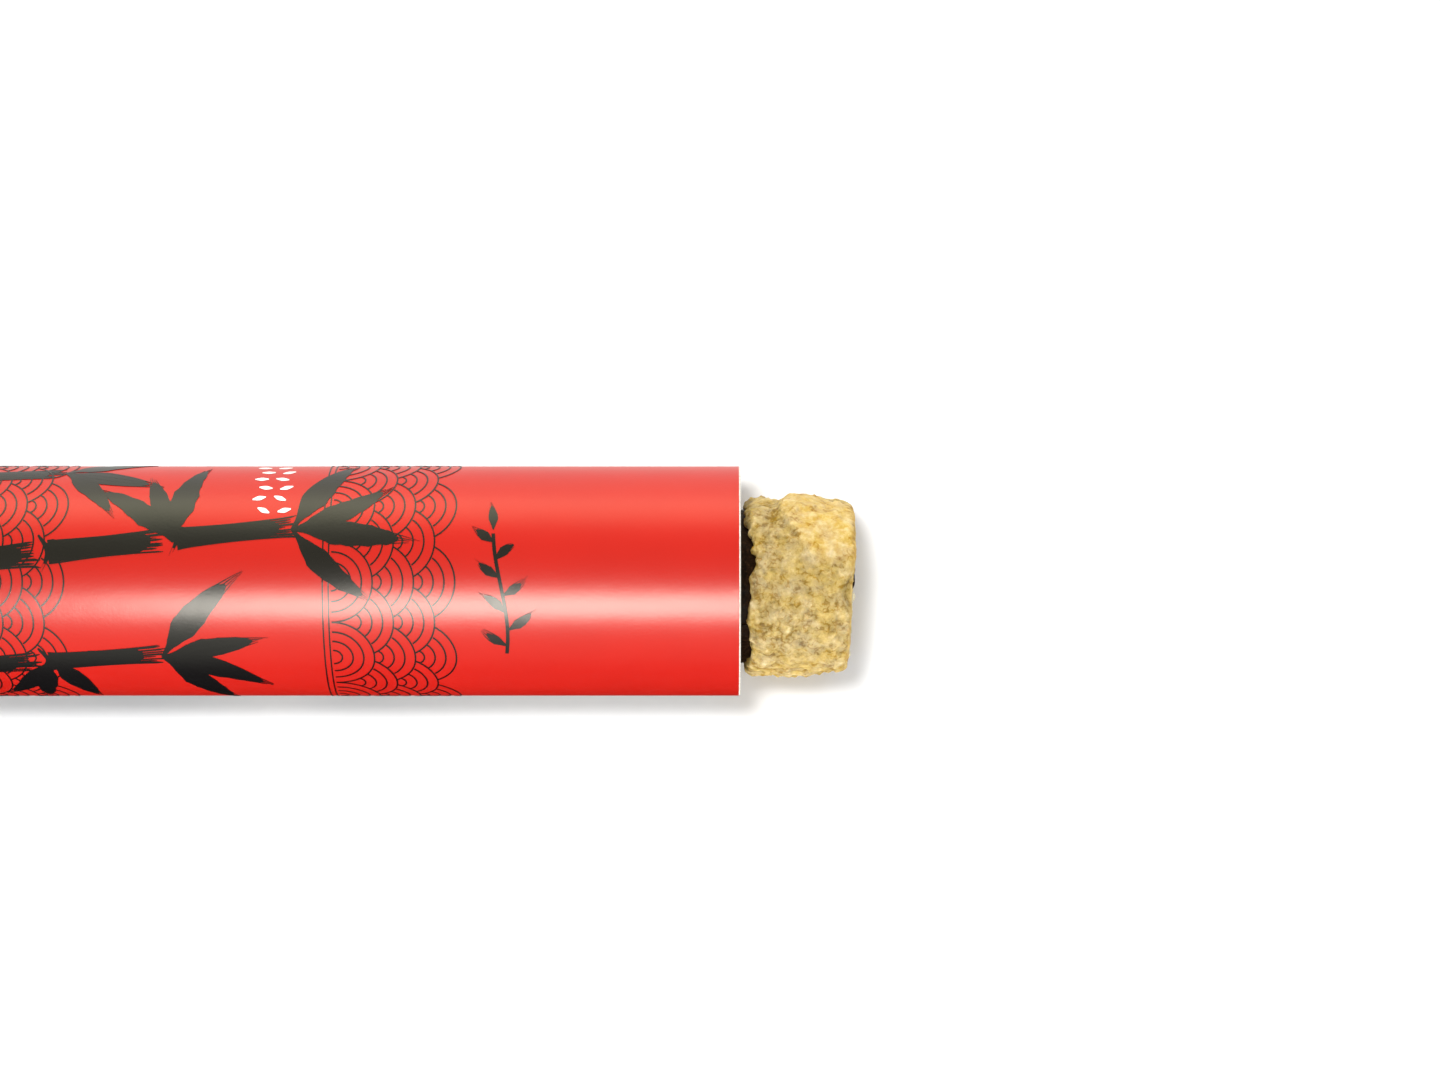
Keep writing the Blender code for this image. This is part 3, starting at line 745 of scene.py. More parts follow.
def rolled_paper_tree():
    """A paper tube: a rounded strip swept round a circle, with the step where the paper laps."""
    lengths = (
        "Length", "Outer Radius", "Thickness", "Lap Step", "Middle X", "Axis Height", "Full Radius",
    )
    tree, add, given = new_geometry_tree(
        "rolled_paper", {**dict.fromkeys(lengths, "Float"), "Segments": "Int"}
    )
    thickness = given["Thickness"]
    half = add("ShaderNodeMath", (thickness, 0.5), operation="MULTIPLY")
    radius = add("ShaderNodeMath", (given["Outer Radius"], half), operation="SUBTRACT")
    path = add(
        "GeometryNodeCurvePrimitiveCircle", {"Resolution": given["Segments"], "Radius": radius},
        mode="RADIUS",
    )
    strip = add(
        "GeometryNodeCurvePrimitiveQuadrilateral", {"Width": thickness, "Height": given["Length"]},
        mode="RECTANGLE",
    )
    edge = add("ShaderNodeMath", (thickness, EDGE_ROUND_SHARE), operation="MULTIPLY")
    rounded = add(
        "GeometryNodeFilletCurve", {"Curve": strip, "Radius": edge, "Count": 3, "Limit Radius": True},
        mode="POLY",
    )
    swept = add("GeometryNodeCurveToMesh", {"Curve": path, "Profile Curve": rounded})

    # The tube's axis is Z here, and becomes X
    x, y, z = add("ShaderNodeSeparateXYZ", (add("GeometryNodeInputPosition"),)).node.outputs
    turn = add("ShaderNodeMath", (x, y), operation="ARCTAN2")
    lap = add("ShaderNodeMath", (turn, 0.5 / math.pi, 0.5), operation="MULTIPLY_ADD")
    lap = add("ShaderNodeMath", (lap, given["Lap Step"]), operation="MULTIPLY")
    squared = add("ShaderNodeMath", (x, x), operation="MULTIPLY")
    squared = add("ShaderNodeMath", (y, y, squared), operation="MULTIPLY_ADD")
    reach = add("ShaderNodeMath", (squared,), operation="SQRT")
    reach = add("ShaderNodeMath", (reach, lap), operation="SUBTRACT")
    sideways, upwards = from_axis(add, turn, reach, given["Axis Height"])
    # On the flat that the tube rests on, each layer keeps 0.7 of its depth inside the outer face
    inside = add("ShaderNodeMath", (given["Full Radius"], reach), operation="SUBTRACT")
    pressed = add("ShaderNodeMath", (inside, 0.7), operation="MULTIPLY")
    upwards = add("ShaderNodeMath", (upwards, pressed), operation="MAXIMUM")
    lengthways = add("ShaderNodeMath", (z, given["Middle X"]), operation="ADD")
    laid = add("ShaderNodeCombineXYZ", (lengthways, sideways, upwards))
    tube = add("GeometryNodeSetPosition", {"Geometry": swept, "Position": laid})
    return close_tree(tree, tube, given["Material"])


def copies_tree():
    """Copies of a shape on points, turned and sized by the points' own attributes."""
    tree, add, given = new_geometry_tree("copies_on_points", {"Shapes": "Collection"})
    turn, size = (
        add("GeometryNodeInputNamedAttribute", {"Name": name}, data_type="FLOAT_VECTOR")
        for name in ("turn", "size")
    )
    shapes = add(
        "GeometryNodeCollectionInfo",
        {"Collection": given["Shapes"], "Separate Children": True, "Reset Children": True},
    )
    copies = add("GeometryNodeInstanceOnPoints", {
        "Points": given["Geometry"], "Instance": shapes, "Pick Instance": True,
        "Rotation": turn, "Scale": size,
    })
    return close_tree(tree, copies, given["Material"])


def crags_tree():
    """Crumbs of batter strewn over a surface, as thickly as its cover attribute says."""
    tree, add, given = new_geometry_tree("batter_crags", {
        "Crumbs": "Collection", "Per Square Metre": "Float", "Smallest": "Float",
        "Largest": "Float", "Sunk Share": "Float", "Seed": "Int",
    })
    seed = given["Seed"]
    cover = add("GeometryNodeInputNamedAttribute", {"Name": "cover"}, data_type="FLOAT")
    density = add("ShaderNodeMath", (cover, given["Per Square Metre"]), operation="MULTIPLY")
    spots = add(
        "GeometryNodeDistributePointsOnFaces",
        {"Mesh": given["Geometry"], "Density": density, "Seed": seed}, distribute_method="RANDOM",
    )
    crumbs = add(
        "GeometryNodeCollectionInfo",
        {"Collection": given["Crumbs"], "Separate Children": True, "Reset Children": True},
    )
    spin = add(
        "FunctionNodeRandomValue", {1: (FULL_TURN,) * 3, "Seed": seed}, data_type="FLOAT_VECTOR"
    )
    size = add(
        "FunctionNodeRandomValue", {2: given["Smallest"], 3: given["Largest"], "Seed": seed},
        data_type="FLOAT",
    )
    depth = add("ShaderNodeMath", (size, given["Sunk Share"]), operation="MULTIPLY")
    normal = spots.node.outputs["Normal"]
    inwards = add("ShaderNodeVectorMath", {0: normal, "Scale": depth}, operation="SCALE")
    sunk = add("GeometryNodeSetPosition", {"Geometry": spots, "Offset": inwards})
    copies = add("GeometryNodeInstanceOnPoints", {
        "Points": sunk, "Instance": crumbs, "Pick Instance": True, "Rotation": spin, "Scale": size,
    })
    return close_tree(tree, copies, given["Material"])


def wrap_tree():
    """Bends a flat drawing, X along the tube and Y round it, onto the tube's label."""
    tree, add, given = new_geometry_tree(
        "wrap_on_tube", {"Radius": "Float", "Axis Height": "Float"}
    )
    x, y, z = add("ShaderNodeSeparateXYZ", (add("GeometryNodeInputPosition"),)).node.outputs
    turn = add("ShaderNodeMath", (y, given["Radius"]), operation="DIVIDE")
    reach = add("ShaderNodeMath", (given["Radius"], z), operation="ADD")
    sideways, upwards = from_axis(add, turn, reach, given["Axis Height"])
    # On the flat that the tube rests on the ink is pressed level, as thick as elsewhere
    pressed = add("ShaderNodeMath", (given["Radius"], reach), operation="SUBTRACT")
    upwards = add("ShaderNodeMath", (upwards, pressed), operation="MAXIMUM")
    laid = add("ShaderNodeCombineXYZ", (x, sideways, upwards))
    bent = add("GeometryNodeSetPosition", {"Geometry": given["Geometry"], "Position": laid})
    return close_tree(tree, bent, given["Material"])


# Settings that a user would change


def colour_property(name, colour, description):
    return FloatVectorProperty(
        name=name, description=description, subtype="COLOR", size=3, min=0, max=1,
        default=linear(colour)[:3],
    )


def length_property(name, default_mm, description):
    return FloatProperty(
        name=name, description=description, unit="LENGTH", subtype="DISTANCE", min=0,
        precision=5, default=default_mm * MM,
    )


def power_property(name, default_watts, description):
    return FloatProperty(
        name=name, description=description, unit="POWER", min=0, default=default_watts
    )


class SushiPopTubeSettings(bpy.types.PropertyGroup):
    red: colour_property("Label Red", "#B61103", "Colour of the coated paper round the tube")
    ink: colour_property("Ink", "#0F0D0E", "Colour of the brush drawing on the label")
    white: colour_property("White Ink", "#FBF3EC", "Colour of the small marks on the label")
    board: colour_property("Board", "#D8D0C2", "Colour of the grey board's cut edge")
    paper: length_property("Paper Thickness", 0.12, "Thickness of the label and of the liner")
    bare_edge: length_property("Bare Edge", 0.35, "Board left bare at each end of the label")
    lap: length_property("Lap Step", 0.1, "Step where the label's end lies on its start")
    segments: IntProperty(
        name="Segments", description="Faces round the tube", min=33, max=513, default=193
    )


class SushiPopBatterSettings(bpy.types.PropertyGroup):
    tan: colour_property("Tan", "#A9925A", "Colour of most of the batter")
    # Pit and Crest mix the batter's own mottled tone with painted shade in the pits and painted highlight
    # on the crags
    pit_shade_and_tone: colour_property("Pit", "#69522A", "Colour deep between the crags")
    crest_highlight_and_tone: colour_property("Crest", "#D3BF8C", "Colour of the highest crumbs")
    golden: colour_property("Golden", "#BDA05C", "Colour of the smooth lumps at the upper right")
    detail: length_property("Detail", 0.34, "Size of the faces of the batter's skin")
    crumb_least: length_property("Smallest Crumb", 0.4, "Radius of the smallest fused crumbs")
    crumb_most: length_property("Largest Crumb", 1.3, "Radius of the largest fused crumbs")
    crumbs: FloatProperty(
        name="Crumbs", description="Fused crumbs on each square centimetre", min=0, default=16
    )


class SushiPopRollSettings(bpy.types.PropertyGroup):
    seaweed: colour_property("Seaweed", "#1D0F06", "Colour of the roasted sheet")
    seaweed_thickness: length_property("Seaweed Thickness", 0.24, "Thickness of the wet sheet")
    rice: colour_property("Rice", "#CFC7AC", "Colour of the cooked rice")
    grain_length: length_property("Grain Length", 5.4, "Length of a cooked grain")
    grain_width: length_property("Grain Width", 2.1, "Width of a cooked grain")
    yellow: colour_property("Soaked Batter", "#DCBC64", "Colour of the batter round the shrimp")
    orange: colour_property("Orange", "#D39132", "Colour of the stained batter")
    shrimp: colour_property("Shrimp", "#E3BD9B", "Colour of the shrimp's flesh")
    skin: colour_property("Shrimp Skin", "#CE6A2C", "Colour of the shrimp's skin")


class SushiPopStageSettings(bpy.types.PropertyGroup):
    distance: length_property("Camera Distance", 900, "From the camera to the tube's axis")
    frame_width: length_property("Framed Width", 326, "Width of the picture at the tube's axis")
    key: power_property("Key Light", 7.6, "Power of the softbox overhead")
    fill: power_property("Near Fill", 8.0, "Power of the softbox on the near side")
    far_fill: power_property("Far Fill", 4.5, "Power of the softbox on the far side")
    strip: power_property("Strip Light", 14.1, "Power of the softbox that the label reflects")
    tent: FloatProperty(
        name="Light Tent", description="Strength of the white tent", min=0, default=3.3
    )


# The tube and its printed label


def paper_layer(name, outer, thickness, lap, ends, material):
    settings = bpy.context.scene.sushi_pop_tube
    obj = new_object(name, bpy.data.meshes.new(name))
    values = {
        "Length": ends[1] - ends[0], "Outer Radius": outer, "Thickness": thickness,
        "Lap Step": lap, "Middle X": (ends[0] + ends[1]) / 2, "Axis Height": AXIS_HEIGHT,
        "Full Radius": TUBE_RADIUS, "Segments": settings.segments, "Material": material,
    }
    run_tree(obj, rolled_paper_tree(), values)
    return obj


def base_mesh():
    """The pressed cup that closes the far end: a slightly dished face with a curled skirt."""
    radius = TUBE_RADIUS - BASE_WALL + 0.02 * MM
    inner, outer, rim = BASE_HIGH.x, BASE_HIGH.x - 1.2 * MM, BASE_LOW.x
    skirt = radius - 0.8 * MM
    profile = [(inner, share * radius) for share in (0.02, 0.3, 0.6, 0.9, 0.985)]
    profile += [(inner - 0.3 * MM, radius), (rim + 0.35 * MM, radius)]
    profile += [(rim + 0.1 * MM, radius - 0.1 * MM), (rim, radius - 0.35 * MM)]
    profile += [(rim + 0.15 * MM, skirt + 0.05 * MM), (rim + 0.5 * MM, skirt)]
    profile += [(outer - 0.8 * MM, skirt), (outer - 0.2 * MM, skirt - 0.25 * MM)]
    profile += [(outer, skirt - 0.9 * MM)]
    profile += [(outer + 0.25 * MM * (1 - share**2), share * skirt) for share in (0.9, 0.6, 0.3, 0.02)]
    rings = []
    for x, reach in profile:
        turns = [math.radians(angle) for angle in even_angles(144)]
        rings.append([(x, reach * math.cos(t), AXIS_HEIGHT + reach * math.sin(t)) for t in turns])
    return loft("base_board", rings[::-1])


def smooth_path(points, step):
    """Even stations on a smooth curve through points of any number of values."""
    points = np.array(points, dtype=float)
    held = np.vstack([2 * points[0] - points[1], points, 2 * points[-1] - points[-2]])
    dense = []
    for a, b, c, d in zip(held, held[1:], held[2:], held[3:]):
        for t in np.linspace(0, 1, 24, endpoint=False):
            cubic = (3 * b - a - 3 * c + d) * t**3
            dense.append(0.5 * (2 * b + (c - a) * t + (2 * a - 5 * b + 4 * c - d) * t**2 + cubic))
    dense = np.array([*dense, points[-1]])
    steps = np.linalg.norm(np.diff(dense[:, :2], axis=0), axis=1)
    travel = np.concatenate([[0], np.cumsum(steps)])
    even = np.linspace(0, travel[-1], max(int(travel[-1] / step), 2) + 1)
    return np.column_stack([np.interp(even, travel, column) for column in dense.T])


def across_path(places):
    """Unit vectors that point across a flat path at each of its places."""
    heading = np.gradient(places, axis=0)
    heading /= np.maximum(np.linalg.norm(heading, axis=1), 1e-9)[:, None]
    return np.column_stack([-heading[:, 1], heading[:, 0]])


class FlatDrawing:
    """Closed thin strokes in a plane, X from the mouth backwards and Y round the tube, in mm."""

    def __init__(self, seed):
        self.points = []
        self.faces = []
        self.random = random.Random(seed)
        self.strokes = 0

    def ribbon(self, stations, cells):
        """A stroke through stations of (x, y, width)."""
        # Strokes that cross differ a little in height, so that their tops don't coincide
        top, bottom = 0.045 + 0.0015 * (self.strokes % 12), -0.03
        self.strokes += 1
        places, widths = stations[:, :2], stations[:, 2]
        aside = across_path(places)
        shares = np.linspace(-0.5, 0.5, cells + 1)
        first, across, count = len(self.points), cells + 1, len(stations)
        for height in (top, bottom):
            for place, side, width in zip(places, aside, widths):
                for share in shares:
                    x, y = place + side * width * share
                    self.points.append((MOUTH_X - x * MM, y * MM, height * MM))
        under = first + across * count
        border = []
        for a in range(count - 1):
            for i in range(cells):
                quad = [first + a * across + i, first + a * across + i + 1]
                quad += [quad[1] + across, quad[0] + across]
                self.faces.append(quad)
                self.faces.append([corner - first + under for corner in reversed(quad)])
            border.append((first + a * across + cells, first + (a + 1) * across + cells))
            border.append((first + (a + 1) * across, first + a * across))
        last = first + (count - 1) * across
        border += [(first + i, first + i + 1) for i in range(cells)]
        border += [(last + i + 1, last + i) for i in range(cells)]
        self.faces += [[b, a, a - first + under, b - first + under] for a, b in border]

    def brush(self, points, hairs=9, step=1.3):
        """A brush stroke: a full middle with ragged sides, and loose hairs at its dry end."""
        stations = smooth_path(points, step)
        count = len(stations)
        ragged = [1 + 0.05 * math.sin(1.9 * i) + self.random.uniform(-0.05, 0.05) for i in range(count)]
        core = stations.copy()
        core[:, 2] *= 0.9 * np.array(ragged)
        wet = max(int(count * self.random.uniform(0.84, 0.92)), 3)
        core = core[:wet]
        core[-2:, 2] *= (0.8, 0.35)
        self.ribbon(core, max(int(stations[:, 2].max() / 1.5), 2))
        aside = across_path(stations[:, :2])
        for hair in range(hairs):
            lane = (hair + 0.5) / hairs - 0.5 + self.random.uniform(-0.03, 0.03)
            start = self.random.randint(0, max(count // 12, 1))
            stop = count - self.random.randint(0, max(count // 9, 1))
            part = stations[start:stop].copy()
            if len(part) < 3:
                continue
            part[:, :2] += aside[start:stop] * (part[:, 2] * lane * 1.04)[:, None]
            part[:, 2] *= self.random.uniform(0.05, 0.11)
            part[0, 2] *= 0.4
            part[-1, 2] *= 0.2
            self.ribbon(part, 1)

    def line(self, points, width=0.34, step=0.8):
        self.ribbon(smooth_path([(*point, width) for point in points], step), 1)

    def leaf(self, x, y, lean, length, width):
        """A bamboo leaf in one press of the brush, pointing away from its stalk."""
        turn = math.radians(lean)
        outline = ((0, 0.12), (0.12, 0.3), (0.34, 1), (0.6, 0.82), (0.84, 0.36), (1, 0.05))
        bow = self.random.uniform(-0.07, 0.07)
        points = []
        for share, size in outline:
            off = bow * math.sin(math.pi * share)
            px = x + length * (share * math.cos(turn) - off * math.sin(turn))
            py = y + length * (share * math.sin(turn) + off * math.cos(turn))
            points.append((px, py, width * size))
        self.brush(points, hairs=4, step=1.2)

    def stalk(self, start, end, joints, width):
        """A bamboo stalk: pressed and lifted once from joint to joint, with a line at each."""
        start, end = np.array(start, dtype=float), np.array(end, dtype=float)
        along_stalk = (end - start) / np.linalg.norm(end - start)
        side = np.array([-along_stalk[1], along_stalk[0]])
        for index in range(joints):
            a = start + (end - start) * index / joints + along_stalk * 0.9
            b = start + (end - start) * (index + 1) / joints - along_stalk * 0.9
            w = width * (1 - 0.05 * index)
            shares = ((0, 1.16), (0.1, 0.98), (0.5, 0.88), (0.9, 1.0), (1, 1.2))
            self.brush([(*(a + (b - a) * share), w * size) for share, size in shares])
            if index:
                knot = a - along_stalk * 0.9
                bent = [knot + side * w * u + along_stalk * (0.9 - 3.4 * u * u) for u in (-0.75, 0, 0.75)]
                self.brush([(*place, size) for place, size in zip(bent, (0.5, 1.5, 0.6))], 2, 0.9)

    def mesh(self, name):
        return mesh_from(name, self.points, self.faces)


def draw_waves(drawing, rows, x):
    """A band of overlapping round waves all round the tube, in thin lines, closed by a border."""
    count = 9
    round_tube = 2 * math.pi * TUBE_RADIUS / MM
    radius = round_tube / count / 2
    for row in range(rows):
        for place in range(count):
            middle_y = (place + 0.5 * (row % 2)) * 2 * radius
            middle_x = x + row * radius * 0.5
            for ring in (1, 0.74, 0.48, 0.22):
                reach = radius * ring
                arc = []
                for i in range(25):
                    turn = math.pi * i / 24
                    px, py = middle_x - reach * math.sin(turn), middle_y + reach * math.cos(turn)
                    covered = row + 1 < rows and any(
                        math.hypot(px - middle_x - radius * 0.5, py - middle_y - step * radius) < radius
                        for step in (-1, 1)
                    )
                    if not covered:
                        arc.append((px, py))
                if len(arc) > 3:
                    drawing.line(arc)
    for gap in (0.6, 1.9):
        border_x = x + (rows - 1) * radius * 0.5 + gap
        drawing.line([(border_x, round_tube * i / 12) for i in range(13)], 0.3, 3)


def draw_panel(black, white, side):
    """The drawing on one half of the label, centred on a line along the tube."""
    for start, end, joints, width in (
        ((238, side - 3), (97, side + 13), 5, 6.6),
        ((238, side + 22), (150, side + 31), 3, 5.4),
        ((238, side - 27), (126, side - 17), 4, 6.2),
    ):
        black.stalk(start, end, joints, width)
    sprays = (
        (99, side + 12, (150, 186, 222, 118), 27, 6.2),
        (125, side + 9, (38, 72, 104), 25, 6.0),
        (128, side - 18, (168, 204, 236, 132), 26, 6.0),
        (153, side - 19, (-52, -84, -118), 19, 5.4),
        (151, side + 31, (196, 232, 158), 22, 5.6),
        (182, side + 3, (52, 88, -64, -98), 23, 5.6),
        (212, side + 27, (-40, -78), 20, 5.2),
    )
    for x, y, leans, length, width in sprays:
        for lean in leans:
            size = black.random.uniform(0.85, 1.12)
            black.leaf(x, y, lean, length * size, width * size)

    # A small sprig nearer the mouth
    black.line([(53 + 1.6 * math.sin(0.13 * y), side + y) for y in range(-17, 15, 4)], 0.8, 1.2)
    for step, y in enumerate(range(-15, 13, 4)):
        lean = 142 if step % 2 else 38
        black.leaf(53 + 1.6 * math.sin(0.13 * y), side + y, lean, 8.2 - 0.35 * step, 2.5)
    black.leaf(53 + 1.6 * math.sin(0.13 * 12), side + 12, 84, 7.5, 2.4)

    # White grains of rice
    for row in range(2):
        for place in range(6):
            x, y = 101 + 4.6 * row + 1.2 * (place % 2), side + 17 + 3.6 * place
            lean = white.random.uniform(-0.5, 0.5)
            points = [(x + 1.5 * t * math.cos(lean), y + 1.5 * t * math.sin(lean)) for t in (-1, 0, 1)]
            white.ribbon(smooth_path([(*p, w) for p, w in zip(points, (0.3, 1.3, 0.3))], 0.3), 2)


class SUSHIPOP_OT_tube(bpy.types.Operator):
    """Roll the board tube, its liner and its coated red label"""

    bl_idname = "sushi_pop.tube"
    bl_label = "Paper Tube"

    def execute(self, context):
        settings = context.scene.sushi_pop_tube
        paper = settings.paper
        red = coated_paper("gloss coated red paper", settings.red, spread=0.05)
        grey = board_material("grey tube board", ("#A79F90", settings.board, "#EDE8DE"), fibre_mm=0.5)
        liner = board_material("white kraft liner", ("#CFC8BA", "#E4DFD5", "#F4F1EA"), fibre_mm=0.7)
        ends = FAR_X, MOUTH_X
        bare = FAR_X + settings.bare_edge, MOUTH_X - settings.bare_edge
        overlap = 0.01 * MM
        thickness = BASE_WALL - 2 * paper + 2 * overlap
        board = paper_layer("tube_board", TUBE_RADIUS - paper + overlap, thickness, 0, ends, grey)
        finish_piece(board, "grey_paper_board", "tube", sharp=50)
        label = paper_layer("tube_label", TUBE_RADIUS, paper, settings.lap, bare, red)
        finish_piece(label, "red_coated_paper", sharp=50)
        # The grey board below it bounces light instead, which keeps the floor's shadow neutral
        label.visible_diffuse = False
        inner = paper_layer("tube_liner", TUBE_RADIUS - BASE_WALL + paper, paper, 0, ends, liner)
        finish_piece(inner, "grey_paper_board", sharp=50)
        disc = board_material("grey base board", ("#A79F90", settings.board, "#E6E0D4"), fibre_mm=0.5)
        base = new_object("base_board", base_mesh(), disc)
        finish_piece(base, "grey_paper_board", "base_disc", sharp=50)
        return {"FINISHED"}


class SUSHIPOP_OT_print(bpy.types.Operator):
    """Print the label with brushed bamboo, thin waves and white rice grains"""

    bl_idname = "sushi_pop.print"
    bl_label = "Label Print"

    def execute(self, context):
        settings = context.scene.sushi_pop_tube
        black, white = FlatDrawing(seed=5), FlatDrawing(seed=8)
        half_way_round = math.pi * TUBE_RADIUS / MM
        for side in (0, half_way_round):
            draw_panel(black, white, side)
        draw_waves(black, rows=5, x=72)
        draw_waves(black, rows=4, x=158)
        tree = wrap_tree()
        for name, drawing, colour in (
            ("label_ink_black", black, settings.ink), ("label_ink_white", white, settings.white)
        ):
            obj = new_object(name, drawing.mesh(name))
            values = {
                "Radius": TUBE_RADIUS, "Axis Height": AXIS_HEIGHT,
                "Material": coated_paper(name.replace("_", " "), colour, spread=0.1),
            }
            run_tree(obj, tree, values)
            finish_piece(obj, "red_coated_paper", sharp=40)
        return {"FINISHED"}


# The fried roll


def neighbour_average(mesh, places, passes):
    """Places moved to the middle of their neighbours, over and over."""
    ends = np.empty(len(mesh.edges) * 2, dtype=np.int32)
    mesh.edges.foreach_get("vertices", ends)
    a, b = ends.reshape(-1, 2).T
    count = len(places)
    degree = np.maximum(np.bincount(np.concatenate([a, b]), minlength=count), 1)
    smooth = places.copy()
    for _ in range(passes):
        columns = [
            np.bincount(a, column[b], count) + np.bincount(b, column[a], count)
            for column in smooth.T
        ]
        smooth = np.column_stack(columns) / degree[:, None]
    return smooth


def relief_of(mesh, passes, height):
    """How far each vertex stands out of its surroundings: 0 in a pit, 1 on a crag."""
    places = coordinates(mesh)
    away = places - neighbour_average(mesh, places, passes)
    return 0.5 + (away * vertex_normals(mesh)).sum(axis=1) / (2 * height)


def lumpy_shapes(name, count, stretch, rough, rings, seed):
    """A few small uneven balls of radius 1, for the trees to copy."""
    shapes = bpy.data.collections.new(name)
    for index in range(count):
        work = bmesh.new()
        bmesh.ops.create_uvsphere(work, u_segments=rings + 2, v_segments=rings, radius=1)
        for vertex in work.verts:
            away = noise.noise(vertex.co * 1.3 + Vector((seed + 5 * index, 0, seed)))
            vertex.co *= 1 + rough * away
            vertex.co.x *= stretch
        mesh = bpy.data.meshes.new(f"{name}_{index}")
        work.to_mesh(mesh)
        work.free()
        shapes.objects.link(bpy.data.objects.new(f"{name}_{index}", mesh))
    return shapes


def remove_shapes(shapes):
    for obj in list(shapes.objects):
        bpy.data.objects.remove(obj)
    bpy.data.collections.remove(shapes)


def edge_round(angle):
    return (1.9 + 2.1 * bump(signed(angle), 0, 40)) * MM


def crust_point(share, angle):
    """A point of the batter's outside, from its broken edge at share 0 to its cut at share 1."""
    back = crust_back_x(angle)
    notch = 2.0 * MM * bump(angle, 93, 11)
    x = back + (crust_front_x(angle) - notch - edge_round(angle) - back) * share
    radius = crust_radius(angle) + crust_relief(x, angle) * min(1.0, 0.35 + 4 * share)
    radius -= 1.0 * MM * bump(share, 0, 0.05) + CRUMB_ROOM
    lowest = SLICE_LOWEST - SLICE_MIDDLE.z
    sine = math.sin(math.radians(angle))
    if radius * sine < lowest:
        radius = lowest / sine
    return x, radius


def crust_inner_radius(angle):
    """The batter clings to the seaweed, and to the rice where the sheet is torn at the cut."""
    torn = smoothstep(0, 6, 30 - abs(angle % 360 - (WRAP_END + FLAP_START) / 2))
    return outer_nori_radius(angle) + (0.32 - 0.75 * torn) * MM


def golden_share(places):
    """Where the smooth golden lumps are: on the upper right, and in a few patches elsewhere."""
    angle, _ = polar(places)
    turned = signed(angle)
    out = places[:, 0] - MOUTH_X - golden_edge(turned) - 2.0 * MM * noise_at(places, 4 * MM, 15)
    lump = smoothstep(0, 2.5 * MM, out) * smoothstep(46, 34, np.abs(turned - 34))
    low = 0.55 * smoothstep(40, 10, np.abs(signed(angle - 168)))
    return np.clip(lump + low, 0, 1)


def crust_shell(steps, rows):
    """The batter as a smooth closed ring, with how thickly crumbs cover each point."""
    angles = even_angles(steps)
    rings, cover = [], []
    for row in range(rows):
        share = row / (rows - 1)
        places = [(*crust_point(share, angle), angle) for angle in angles]
        rings.append([point_at(x, angle, radius) for x, radius, angle in places])
        cover += [smoothstep(0.6, 3, point[2] / MM) for point in rings[-1]]
    for lean in range(15, 91, 15):
        sine, cosine = math.sin(math.radians(lean)), math.cos(math.radians(lean))
        ring = []
        for angle in angles:
            x, radius = crust_point(1, angle)
            drop = min(edge_round(angle), (radius - crust_inner_radius(angle)) * 0.6)
            ring.append(point_at(x + edge_round(angle) * sine, angle, radius - drop * (1 - cosine)))
        rings.append(ring)
        cover += [0.5 * (1 - sine) * smoothstep(0.6, 3, point[2] / MM) for point in ring]
    middle_x = (CUT_X + MOUTH_X) / 2
    for x_at in (crust_front_x, lambda angle: middle_x, crust_back_x):
        rings.append([point_at(x_at(angle), angle, crust_inner_radius(angle)) for angle in angles])
        cover += [0] * steps
    mesh = loft("batter_shell", rings, joined=True)
    places = coordinates(mesh)
    clusters = 0.25 + 1.5 * smoothstep(-0.25, 0.35, noise_at(places, 5.5 * MM, 3.7))
    return mesh, np.array(cover) * clusters * (1 - 0.6 * golden_share(places))


